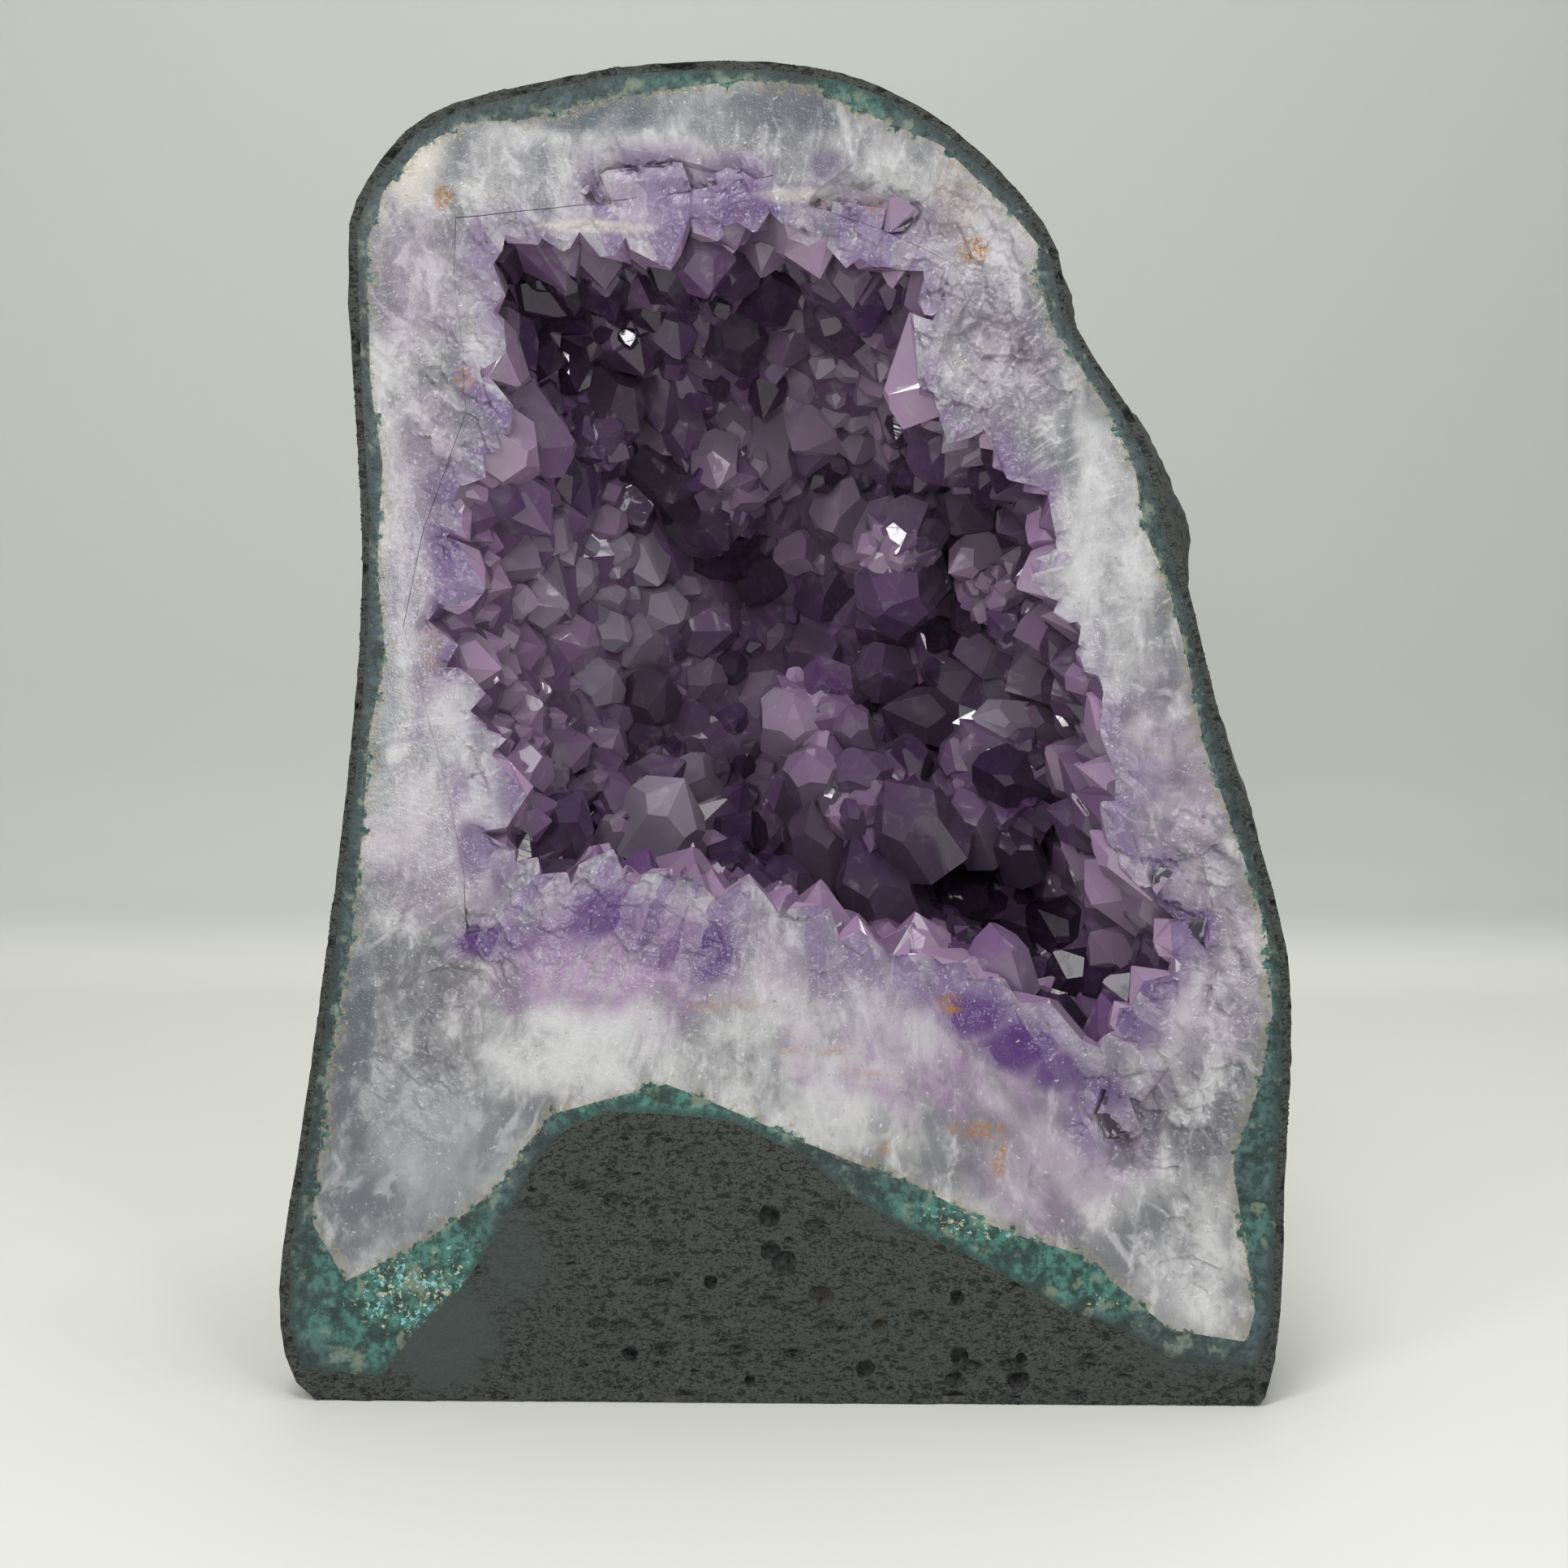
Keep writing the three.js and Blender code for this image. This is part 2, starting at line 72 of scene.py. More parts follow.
# The layers lie round a middle line that sinks and drifts to the right towards the back.
AXIS_HEIGHT = 140
AXIS_DROP = 14
AXIS_DRIFT = 12
AXIS_REACH = 45
BODY_DEPTH = 114
LAYER_FIT = 0.9955  # a solid's size beside its full layer, which leaves the gap round it

# While a piece is shaped, the material index of a face says which region it is in.
FRONT, SKIN, BASE, HIDDEN, HOLLOW = range(5)
FLAT_SLOPE = 0.999  # least slope and most depth of the flat front's faces
FLAT_DEPTH = 0.05
BROKEN_SLOPE = 0.35  # the same for a chipped front
BROKEN_DEPTH = 5.0
BASE_TOLERANCE = 0.03

# Longest edges of the refined meshes, in millimetres.
ROUGH_DETAIL = 4.5
SKIN_DETAIL = 2.2
SAWN_DETAIL = 0.8
POLISHED_DETAIL = 1.0
RIM_SPACING = 0.5
MOST_HALVINGS = 40

# A zone fades from its core to its edge, both as squares of its radii, with a wavy outline.
ZONE_CORE = 0.25
ZONE_EDGE = 1.6
ZONE_WAVE = 7  # millimetres
ZONE_WOBBLE = 0.35

# Places on the polished front, as centre right and up, radius right and up, and strength.
VIOLET_SPOTS = [
    (-53, 82, 5, 4, 1.0), (-46.5, 84, 4, 3.5, 0.9), (-30.5, 87, 9, 5, 0.9), (-14, 80, 6, 6, 1.0),
    (-22, 82, 8, 5, 0.7), (-55, 99, 5, 5, 0.7), (33, 69.5, 6, 4, 0.9), (42, 64, 7, 4.5, 1.0),
    (50, 59.5, 5, 4, 0.9), (57, 55.5, 6, 4, 0.8), (-8, 214, 8, 4, 0.45), (-28, 221, 9, 5, 0.4),
    (62, 112, 7, 5, 0.5), (-62, 160, 5, 9, 0.45), (64, 70, 6, 6, 0.5), (8, 221, 4, 3, 0.5),
]
LILAC_ZONES = [
    (-33, 80, 24, 13, 0.9), (-18, 217, 16, 8, 0.6), (-64, 150, 8, 34, 0.4), (30, 62, 28, 12, 0.7),
    (-62, 100, 12, 14, 0.45), (50, 45, 16, 14, 0.5), (10, 76, 20, 9, 0.35), (68, 105, 12, 26, 0.4),
    (-66, 200, 8, 14, 0.35), (30, 205, 14, 12, 0.25), (40, 186, 8, 12, 0.3), (75, 78, 10, 18, 0.35),
]
MILKY_ZONES = [
    (-36, 63, 17, 8, 1.0), (8, 66, 20, 9, 0.5), (58, 150, 9, 26, 0.8), (-70, 145, 6, 26, 0.5),
    (-30, 225, 26, 8, 0.3), (-60, 108, 11, 18, 0.6), (3, 51, 18, 6, 0.6), (-60, 45, 12, 14, 0.35),
    (18, 222, 18, 8, 0.35), (-68, 222, 9, 8, 0.5), (72, 22, 9, 10, 0.5), (38, 207, 10, 9, 0.4),
]
CLEAR_ZONES = [
    (-66, 66, 12, 14, 0.7), (-52, 76, 6, 6, 0.5), (63.5, 47.5, 6, 5, 0.8), (-75, 55, 7, 16, 0.5),
    (75, 50, 8, 14, 0.5), (-58, 60, 9, 9, 0.4), (4, 227, 12, 7, 0.3), (38, 44, 7, 5, 0.4),
]
RUST_SPOTS = [
    (-61.3, 215.4, 1.8, 2.2, 0.8), (-57.7, 183.4, 1.8, 2.4, 0.6), (16.4, 214.5, 2.2, 1.8, 0.7),
    (33.8, 206, 2.8, 2.6, 1.0), (29.6, 71.1, 2.2, 1.8, 1.0), (34.5, 49, 5.5, 1.4, 0.8),
    (38.5, 44.6, 1.5, 3.6, 0.8), (-63.5, 136, 2.2, 5, 0.35), (18, 45.5, 2, 1.5, 0.5),
    (-10, 71, 8, 1.2, 0.35), (5, 63, 7, 1.0, 0.4), (14, 59, 5, 1.0, 0.35), (31, 217, 5, 9, 0.2),
]
SLATE_PATCHES = [
    (-46, 233, 10, 4.5, 1.0), (-34, 231, 11, 4, 0.9), (-66, 42, 18, 26, 0.4), (-20, 233, 9, 3, 0.5),
    (-73, 130, 3.5, 20, 0.5), (47, 205, 2.2, 6, 0.7),
    (-78, 75, 5, 22, 0.6), (58, 180, 5, 7, 0.7), (-62, 228, 8, 5, 0.25), (-50, 34, 5, 6, 0.5),
    (80, 130, 4, 14, 0.5), (-76, 205, 3, 14, 0.5), (-5, 232, 20, 5, 0.3),
]
CREAM_STRIPS = [(-67.5, 224.5, 7, 9, 1.0), (-35, 210.5, 12, 1.2, 0.6), (2, 216, 7, 1.2, 0.5)]
VIVID_ZONES = [
    (-62, 18, 26, 18, 1.0), (-20, 55, 34, 9, 1.0), (42, 27, 42, 14, 1.0), (-18, 238, 13, 3.5, 0.7),
    (15, 235, 10, 4.5, 0.9), (84, 66, 6, 30, 0.35),
]
FLECK_ZONES = [(-65.5, 18.4, 12, 7, 1.0), (-56, 27, 8, 6, 0.6), (38, 33, 16, 4, 0.8), (60, 19, 9, 4, 0.5)]
SMOOTH_ZONES = [(-62, 10.5, 14, 10, 1.0), (-48, 26, 6, 9, 0.8), (74, 10, 12, 6, 0.6), (24, 33, 14, 4, 0.6)]
# Where the polished face is broken into small facets.
BROKEN_ZONES = [
    (36, 192, 16, 20, 1.0), (24, 212, 22, 7, 0.7), (-60, 176, 7, 24, 0.8), (72, 85, 12, 26, 1.0),
    (68, 55, 16, 14, 1.0), (74, 28, 10, 12, 0.8), (-56, 205, 8, 10, 0.8), (-55, 82, 9, 8, 0.9),
    (-30, 84, 24, 8, 0.6), (12, 80, 12, 5, 0.5), (-66, 60, 12, 14, 0.5), (-72, 190, 5, 14, 0.3),
]

# Places in the hollow whose crystals differ: centre right and up, radius right and up, strength.
MILKY_CRYSTALS = [
    (-35, 150, 15, 15, 0.95), (-20.5, 104, 9, 9, 0.9), (9, 189, 11, 11, 0.8), (41, 129, 9, 8, 0.8),
    (-40, 130, 4, 20, 0.8), (12, 166, 12, 5, 0.5), (-8, 176, 7, 7, 0.5), (20, 139, 8, 5, 0.6),
]
LILAC_CRYSTALS = [
    (13, 163, 11, 9, 0.9), (37, 154, 8, 8, 0.6), (-2, 129, 9, 9, 0.8), (-53, 130, 9, 28, 0.7),
    (36, 186, 10, 16, 0.8), (-54, 185, 7, 22, 0.5), (-30, 86, 26, 7, 0.7), (15, 78, 16, 7, 0.6),
    (40, 68, 14, 8, 0.5), (60, 90, 8, 26, 0.5), (5, 212, 40, 5, 0.4),
]
# Places whose crystals are deep violet, partly their own colour and partly painted shade, as on the
# ceiling of the hollow.
DARK_AND_SHADED_CRYSTALS = [
    (-25, 203, 12, 10, 0.9), (-46, 200, 14, 14, 0.9), (-44, 184, 9, 9, 0.7), (-17, 162, 8, 8, 0.7),
    (51, 76, 12, 14, 0.9), (49, 107, 12, 10, 0.6), (-2, 96, 22, 7, 0.6), (12, 203, 26, 7, 0.6),
    (44, 170, 8, 8, 0.5), (-42, 92, 12, 8, 0.5),
]

# Rosettes of crystals that stand out of the crust: centre right, depth and up, radius and tint.
ROSETTES = [
    (22, 41, 156, 8.5, 0.35), (41, 44, 149, 8, 0.60), (5, 42, 124, 9.5, 0.45), (15, 44, 106, 14, 0.65),
    (45, 46, 112, 14, 0.90), (-15, 60, 196, 10, 0.95), (-15, 58, 173, 13, 0.92),
    (-39, 44, 181, 9.5, 0.95), (-31, 50, 105, 10, 0.9),
]
# Crystals on the front lip: foot right, depth and up, width, length and lean to the right.
LIP_CRYSTALS = [
    (-47, 5, 84, 12, 13, 8), (-36, 6, 83, 14, 17, 3), (-27, 9, 82, 12, 14, -10), (-20, 6, 81, 13, 15, 12),
    (-11, 8, 80, 10, 15, -6), (-4, 5, 77, 14, 16, 22), (5, 7, 74, 11, 12, 30), (16, 6, 70, 14, 17, 24),
    (31, 8, 66, 18, 19, 34), (45, 5, 60, 11, 11, 30),
]


def smooth(low, high, value):
    share = min(1.0, max(0.0, (value - low) / (high - low)))
    return share * share * (3 - 2 * share)


def zone(places, right, up):
    """How strongly a spot of the front lies in any of the places, from 0 to 1"""
    warp = noise.noise_vector(Vector((right / ZONE_WAVE, 3.1, up / ZONE_WAVE))) * ZONE_WOBBLE
    best = 0.0
    for centre_right, centre_up, radius_right, radius_up, strength in places:
        across = (right - centre_right) / radius_right + warp.x
        along = (up - centre_up) / radius_up + warp.z
        reach = across * across + along * along
        if reach < ZONE_EDGE:
            best = max(best, strength * smooth(ZONE_EDGE, ZONE_CORE, reach))
    return best


def height_over_base(point):
    return point.z * math.cos(LEAN) - point.y * math.sin(LEAN)


def cad_copy(node):
    """A merged copy of a CAD node in the frame of the polished front"""
    bm = bmesh.new()
    bm.from_mesh(frame["nodes"][node].data)
    bmesh.ops.remove_doubles(bm, verts=bm.verts, dist=1e-6)
    bmesh.ops.transform(bm, matrix=TO_FRONT, verts=bm.verts)
    bm.normal_update()
    return bm


def outward_at(point):
    """From the middle line of the layers towards a point"""
    back = min(max(point.y, 0.0), BODY_DEPTH) / BODY_DEPTH
    middle = Vector((AXIS_DRIFT * back, min(point.y, AXIS_REACH), AXIS_HEIGHT - AXIS_DROP * back))
    return (point - middle).normalized()


def tag_regions(bm, front_slope=FLAT_SLOPE, front_depth=FLAT_DEPTH):
    """Marks each face as front, base, outer skin or hidden"""
    for face in bm.faces:
        centre = face.calc_center_median()
        flat_front = -face.normal.y > front_slope and centre.y < front_depth
        if flat_front:
            face.material_index = FRONT
        elif all(height_over_base(v.co) < BASE_TOLERANCE for v in face.verts):
            face.material_index = BASE
        elif face.normal.dot(outward_at(centre)) > 0:
            face.material_index = SKIN
        else:
            face.material_index = HIDDEN


def refine(bm, region, longest):
    """Halves the longest edges of the region's triangles until all are short enough"""
    length = bmesh.types.BMEdge.calc_length
    for _ in range(MOST_HALVINGS):
        faces = [face for face in bm.faces if face.material_index == region]
        longest_edges = dict.fromkeys(max(face.edges, key=length) for face in faces)
        too_long = sorted((e for e in longest_edges if length(e) > longest), key=length, reverse=True)
        if not too_long:
            return
        touched = set()
        chosen = []
        for edge in too_long:
            if touched.isdisjoint(edge.link_faces):
                touched.update(edge.link_faces)
                chosen.append(edge)
        bmesh.ops.subdivide_edges(bm, edges=chosen, cuts=1, use_single_edge=True)
        rest = [face for face in bm.faces if len(face.verts) > 3]
        bmesh.ops.triangulate(bm, faces=rest, quad_method="SHORT_EDGE")


def even_out(bm, region):
    """Turns the region's edges so that its triangles are less thin"""
    faces = [face for face in bm.faces if face.material_index == region]
    inner = dict.fromkeys(edge for face in faces for edge in face.edges if is_inside(edge, region))
    bmesh.ops.beautify_fill(bm, faces=faces, edges=list(inner))


def is_inside(edge, region):
    return len(edge.link_faces) == 2 and all(f.material_index == region for f in edge.link_faces)


def refine_flat(bm, longest):
    """Refines the flat front, whose first triangles are long and thin, in steps"""
    for step in (16, 8, 4, 2, 1):
        refine(bm, FRONT, longest * step)
        even_out(bm, FRONT)


def vertices_in(bm, region, wholly=False):
    """The region's vertices, or only those with no face of another region"""
    test = all if wholly else any
    return [v for v in bm.verts if v.link_faces and test(f.material_index == region for f in v.link_faces)]


def rim_points(bm):
    """Points close together along the edges of the front region"""
    points = []
    for edge in bm.edges:
        if len({face.material_index == FRONT for face in edge.link_faces}) == 2:
            start, end = (v.co for v in edge.verts)
            steps = max(1, math.ceil(edge.calc_length() / RIM_SPACING))
            points += [start.lerp(end, i / steps) for i in range(steps)]
    return points


def tree_of(points):
    tree = kdtree.KDTree(len(points))
    for index, point in enumerate(points):
        tree.insert(point, index)
    tree.balance()
    return tree


def nearest(tree, point):
    return tree.find(Vector((point.x, 0.0, point.z)))[2]


def layers(bm, *names):
    return [bm.verts.layers.float.get(name) or bm.verts.layers.float.new(name) for name in names]


def placed(name, data):
    """A new object of the scene that holds the data"""
    made = bpy.data.objects.new(name, data)
    bpy.context.scene.collection.objects.link(made)
    return made


def mesh_object(name, bm):
    mesh = bpy.data.meshes.new(name)
    bm.to_mesh(mesh)
    return placed(name, mesh)


def made_piece(name, bm, materials, replaced):
    """The shaped mesh as a piece of the geode in the row frame, in place of its CAD node"""
    bmesh.ops.transform(bm, matrix=TO_ROW, verts=bm.verts)
    bm.normal_update()
    piece = mesh_object(name, bm)
    bm.free()
    for material in materials:
        piece.data.materials.append(material)
    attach(piece, "root")
    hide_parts(replaced)


# Shapes of the basalt, with sizes and depths in millimetres.

SKIN_LUMPS = [(8, 0.9), (3.1, 0.9), (1.6, 0.5)]  # size and depth
SKIN_PIT_SIZE = 4.2
SKIN_PIT_DEPTH = 0.9
GAS_PITS = [(3.1, 0.5, 0.28, 0.7), (6.5, 0.6, 0.42, 1.3)]  # size, flatness, share and depth
SAWN_GRAIN = 0.05
RIM_ROUGHNESS = 0.25  # share of the relief left where skin and front meet
CALM_EDGE = 6.0  # depth over which the full relief comes back
CALMED = 0.9


def basalt_lumps(point):
    """How far the rough skin lies inside its outermost level"""
    depth = 0.0
    for size, deep in SKIN_LUMPS:
        depth += deep * (0.5 + 0.5 * noise.noise(point / size))
    distances, places = noise.voronoi(point / SKIN_PIT_SIZE)
    if noise.cell(places[0] * 9.7) > 0.1:
        depth += SKIN_PIT_DEPTH * smooth(0.42, 0.12, distances[0])
    return depth


def pit_depth(right, up):
    """Depth of the small flat gas pits in the sawn face of the basalt"""
    depth = 0.0
    for size, flatness, share, deep in GAS_PITS:
        spot = Vector((right / size, 0.0, up / (size * flatness)))
        distances, places = noise.voronoi(spot)
        if noise.cell(places[0] * 11.3) > 1.0 - 2 * share:
            depth = max(depth, deep * smooth(0.4, 0.1, distances[0]))
    grain = SAWN_GRAIN * noise.noise(Vector((right / 0.9, 5.0, up / 0.7)))
    return depth + grain


def relax_skin(bm, times):
    skin = vertices_in(bm, SKIN, wholly=True)
    for _ in range(times):
        bmesh.ops.smooth_vert(
            bm, verts=skin, factor=0.5, use_axis_x=True, use_axis_y=True, use_axis_z=True)


def shaped_basalt():
    bm = cad_copy("basalt_matrix")
    tag_regions(bm)
    refine(bm, SKIN, ROUGH_DETAIL)
    relax_skin(bm, 6)
    refine(bm, SKIN, SKIN_DETAIL)
    refine_flat(bm, SAWN_DETAIL)
    relax_skin(bm, 3)
    bm.normal_update()
    floor_line = dict.fromkeys(vertices_in(bm, BASE))
    roughen_skin(bm, floor_line)
    for vertex in vertices_in(bm, FRONT, wholly=True):
        vertex.co.y += max(0.0, pit_depth(vertex.co.x, vertex.co.z) * calm_share(vertex.co))
    for vertex in bm.verts:
        low = height_over_base(vertex.co)
        if low < 0.0:
            vertex.co.z -= low / math.cos(LEAN)
    for vertex in floor_line:
        if vertex.co.y < FLAT_DEPTH:
            vertex.co.z += worn_edge(vertex.co.x)
    return bm


def roughen_skin(bm, floor_line):
    """Sinks the skin by its lumps, less at the sawn front, and level along the floor"""
    rim = {v for v in vertices_in(bm, SKIN) if any(f.material_index == FRONT for f in v.link_faces)}
    moves = []
    for vertex in vertices_in(bm, SKIN):
        depth = basalt_lumps(vertex.co)
        direction = vertex.normal.copy()
        if vertex in rim:
            direction = outward_at(vertex.co)
            direction.y = 0.0
            depth *= RIM_ROUGHNESS
        else:
            depth *= smooth(0.0, CALM_EDGE, vertex.co.y) * 0.7 + 0.3
        if vertex in floor_line:
            direction.z = 0.0
        moves.append((vertex, vertex.co - direction * depth))
    for vertex, place in moves:
        vertex.co = place


def worn_edge(right):
    """How far the lower edge of the sawn front is chipped upwards"""
    broad = noise.noise(Vector((right / 6, 0, 0)))
    fine = noise.noise(Vector((right / 2.3, 9, 0)))
    return max(0.0, 0.8 + 1.5 * (broad + 0.6 * fine))


def calm_share(point):
    """Less pitting where the basalt is dense and smooth beside the rind"""
    return 1.0 - CALMED * zone(SMOOTH_ZONES, point.x, point.z)


# Shapes of the polished front, with depths in millimetres.

BREAK_DEPTH = 1.3
FRONT_SWELL = 0.12
POLISHED_SHARE = 0.85  # from here on outwards in the wall the front is whole


def facet_relief(right, up, size):
    """Height of broken facets: each cell of the stone is a plane with a tilt of its own"""
    spot = Vector((right / size, 1.7, up / size))
    distances, places = noise.voronoi(spot)
    tilt = noise.cell_vector(places[0] * 7.3)
    offset = spot - places[0]
    return 0.35 * tilt.y + 0.32 * (tilt.x * offset.x + tilt.z * offset.z) * 2


def front_relief(right, up, wall):
    """How far the polished front is broken away at a spot, in millimetres"""
    broken = zone(BROKEN_ZONES, right, up) * smooth(1.0, 0.75, wall)
    rough_rim = smooth(0.22, 0.0, wall) * 0.8
    depth = max(broken, rough_rim)
    relief = depth * (0.5 + facet_relief(right, up, 5.5) + 0.5 * facet_relief(right + 40, up, 2.6))
    swell = FRONT_SWELL * noise.noise(Vector((right / 11, 2, up / 11))) * smooth(1.0, POLISHED_SHARE, wall)
    return max(0.0, BREAK_DEPTH * relief + swell)


def mark_front(bm, trees):
    """Writes the zones of the sawn section on the front's vertices and breaks its surface"""
    names = ("wall", "rind_mm", "violet", "lilac", "milk", "clear", "rust", "slate", "cream", "vivid")
    wall_layer, rind_layer, *zone_layers = layers(bm, *names)
    fibre = bm.verts.layers.float_vector.get("fibre") or bm.verts.layers.float_vector.new("fibre")
    zones = (VIOLET_SPOTS, LILAC_ZONES, MILKY_ZONES, CLEAR_ZONES, RUST_SPOTS, SLATE_PATCHES,
             CREAM_STRIPS, VIVID_ZONES)
    for vertex in vertices_in(bm, FRONT):
        to_hollow = nearest(trees["hollow"], vertex.co)
        to_rind = nearest(trees["rind"], vertex.co)
        wall = to_hollow / max(0.01, to_hollow + to_rind)
        vertex[wall_layer] = wall
        vertex[rind_layer] = -to_rind
        for layer, places in zip(zone_layers, zones):
            vertex[layer] = zone(places, vertex.co.x, vertex.co.z)
        around = math.atan2(vertex.co.z - AXIS_HEIGHT, vertex.co.x)
        vertex[fibre] = Vector((math.cos(around) * 70, math.sin(around) * 70, 0.22 * to_hollow))
    for vertex in vertices_in(bm, FRONT):
        vertex.co.y += front_relief(vertex.co.x, vertex.co.z, vertex[wall_layer])


def close_gap(vertices, tree, reach):
    """Moves the outer rim out to its neighbour, across the gap that the solids keep"""
    for vertex in vertices:
        share = smooth(reach, 0.0, nearest(tree, vertex.co))
        stretch = 1.0 + share * (1 / LAYER_FIT - 1.0)
        vertex.co.x *= stretch
        vertex.co.z = AXIS_HEIGHT + (vertex.co.z - AXIS_HEIGHT) * stretch


def shape_quartz(bm, trees):
    refine_flat(bm, POLISHED_DETAIL)
    mark_front(bm, trees)
    close_gap(vertices_in(bm, FRONT), trees["rind"], 2.0)


def shape_rind(bm, trees):
    refine_flat(bm, POLISHED_DETAIL)
    names = ("quartz_mm", "basalt_mm", "flecks", "vivid")
    quartz_layer, basalt_layer, fleck_layer, vivid_layer = layers(bm, *names)
    for vertex in vertices_in(bm, FRONT):
        vertex[quartz_layer] = nearest(trees["rind"], vertex.co)
        vertex[basalt_layer] = nearest(trees["basalt"], vertex.co)
        vertex[fleck_layer] = zone(FLECK_ZONES, vertex.co.x, vertex.co.z)
        vertex[vivid_layer] = zone(VIVID_ZONES, vertex.co.x, vertex.co.z)
    close_gap(vertices_in(bm, FRONT), trees["basalt"], 1.0)


# Crystals of the hollow.

CUT_CLEARANCE = 0.15
MERGE_DISTANCE = 0.003
FORM_COUNT = 24
FACE_SLOPE = math.radians(51.8)  # from the crystal's base to the faces of its point
THREE_SIDED = 0.35  # share of the crystals with three large and three small faces
CLOSEST = 0.36  # least distance between two feet, as a share of both widths
CRYSTAL_SIZES = [(15, 180), (12.5, 700), (10, 2000), (7.5, 3600), (5.2, 5520)]  # width and tries
LIP_FOOT = 8  # how deep a crystal of the lip is rooted
FORM_SEED, WALL_SEED, ROSETTE_SEED, LIP_SEED = 2, 21, 4, 8


def crystal_form(rng):
    """One crystal a unit wide on the origin along +Z: a six-sided column cut to a point"""
    bm = bmesh.new()
    length = rng.uniform(1.25, 1.7)
    bmesh.ops.create_cone(bm, cap_ends=True, segments=6, radius1=0.53, radius2=0.5, depth=length)
    bmesh.ops.translate(bm, verts=bm.verts, vec=(0, 0, length / 2))
    three_sided = rng.random() < THREE_SIDED
    tip = Vector((rng.uniform(-0.08, 0.08), rng.uniform(-0.08, 0.08), length))
    for side in range(6):
        angle = math.radians(60 * side + 30)
        slope = FACE_SLOPE + rng.uniform(-0.05, 0.05)
        normal = Vector((
            math.cos(angle) * math.sin(slope), math.sin(angle) * math.sin(slope), math.cos(slope)))
        if three_sided and side % 2:
            lift = rng.uniform(0.05, 0.16)
        else:
            lift = rng.uniform(-0.05, 0.03)
        cut = bmesh.ops.bisect_plane(
            bm, geom=bm.verts[:] + bm.edges[:] + bm.faces[:], dist=1e-5,
            plane_co=tip + normal * lift, plane_no=normal, clear_outer=True)
        rim = [item for item in cut["geom_cut"] if isinstance(item, bmesh.types.BMEdge)]
        if rim:
            bmesh.ops.edgeloop_fill(bm, edges=rim)
    bmesh.ops.remove_doubles(bm, verts=bm.verts, dist=0.012)
    bmesh.ops.recalc_face_normals(bm, faces=bm.faces)
    mesh = bpy.data.meshes.new("crystal_form")
    bm.to_mesh(mesh)
    bm.free()
    return mesh, length


def stand_crystal(bm, forms, rng, foot, direction, width, length, tint, painted_light):
    """Adds one crystal that grows from its foot along a direction"""
    form, form_length = rng.choice(forms)
    mesh = form.copy()
    turn = direction.to_track_quat("Z", "Y").to_matrix().to_4x4()
    stretch = Matrix.Diagonal((width, width * rng.uniform(0.85, 1.1), length / form_length, 1))
    spin = Matrix.Rotation(rng.uniform(0, math.tau), 4, "Z")
    mesh.transform(Matrix.Translation(foot) @ turn @ spin @ stretch)
    first = len(bm.faces)
    bm.from_mesh(mesh)
    bpy.data.meshes.remove(mesh)
    bm.faces.ensure_lookup_table()
    tint_layer, painted_light_layer, foot_layer, axis_layer = crystal_layers(bm)
    for index in range(first, len(bm.faces)):
        face = bm.faces[index]
        face[tint_layer] = tint
        face[painted_light_layer] = painted_light
        face[foot_layer] = (TO_ROW @ foot) / MM
        face[axis_layer] = ROW_TURN @ direction / length


def crystal_layers(bm):
    """Each crystal's tint and painted light, and in the row frame its foot and its axis over its length"""
    values = bm.faces.layers.float
    vectors = bm.faces.layers.float_vector
    return (
        values.get("tint") or values.new("tint"),
        values.get("painted_light") or values.new("painted_light"),
        vectors.get("foot") or vectors.new("foot"),
        vectors.get("axis") or vectors.new("axis"),
    )


def inward_at(point):
    """From a point of the crust towards the middle of the hollow"""
    target = Vector((point.x * 0.2, point.y * 0.5 - 6, 135))
    return (target - point).normalized()


def random_unit(rng):
    return Vector((rng.gauss(0, 1), rng.gauss(0, 1), rng.gauss(0, 1))).normalized()


def wall_tint(point, rng):
    """0 is milky grey, 0.5 lilac and 1 deep violet"""
    patch = 0.5 + 0.5 * noise.noise(point / 14)
    tint = 0.45 + 0.6 * patch
    tint += (0.4 - tint) * zone(LILAC_CRYSTALS, point.x, point.z)
    tint *= 1 - zone(MILKY_CRYSTALS, point.x, point.z)
    tint += (1 - tint) * zone(DARK_AND_SHADED_CRYSTALS, point.x, point.z)
    # Near the front the crystals turn lilac, as painted light where light passes through them.
    tint += (0.45 - tint) * 0.7 * smooth(12, 3, point.y)
    return min(1.0, max(0.0, tint + rng.uniform(-0.16, 0.16)))


def wall_painted_light(point, rng):
    """How lit a crystal is painted: 0 is deep in painted shade and 1 is free of it"""
    # Lilac and milky crystals and those near the front get less painted shade, the dark places more; the
    # rest varies at random.
    light = max(zone(LILAC_CRYSTALS, point.x, point.z), zone(MILKY_CRYSTALS, point.x, point.z))
    light *= 1 - zone(DARK_AND_SHADED_CRYSTALS, point.x, point.z)
    light = max(light, 0.8 * smooth(12, 3, point.y))
    base = 0.3 * (1 - 0.7 * zone(DARK_AND_SHADED_CRYSTALS, point.x, point.z))
    return min(1.0, max(0.0, base + 0.62 * light + rng.uniform(-0.22, 0.28)))


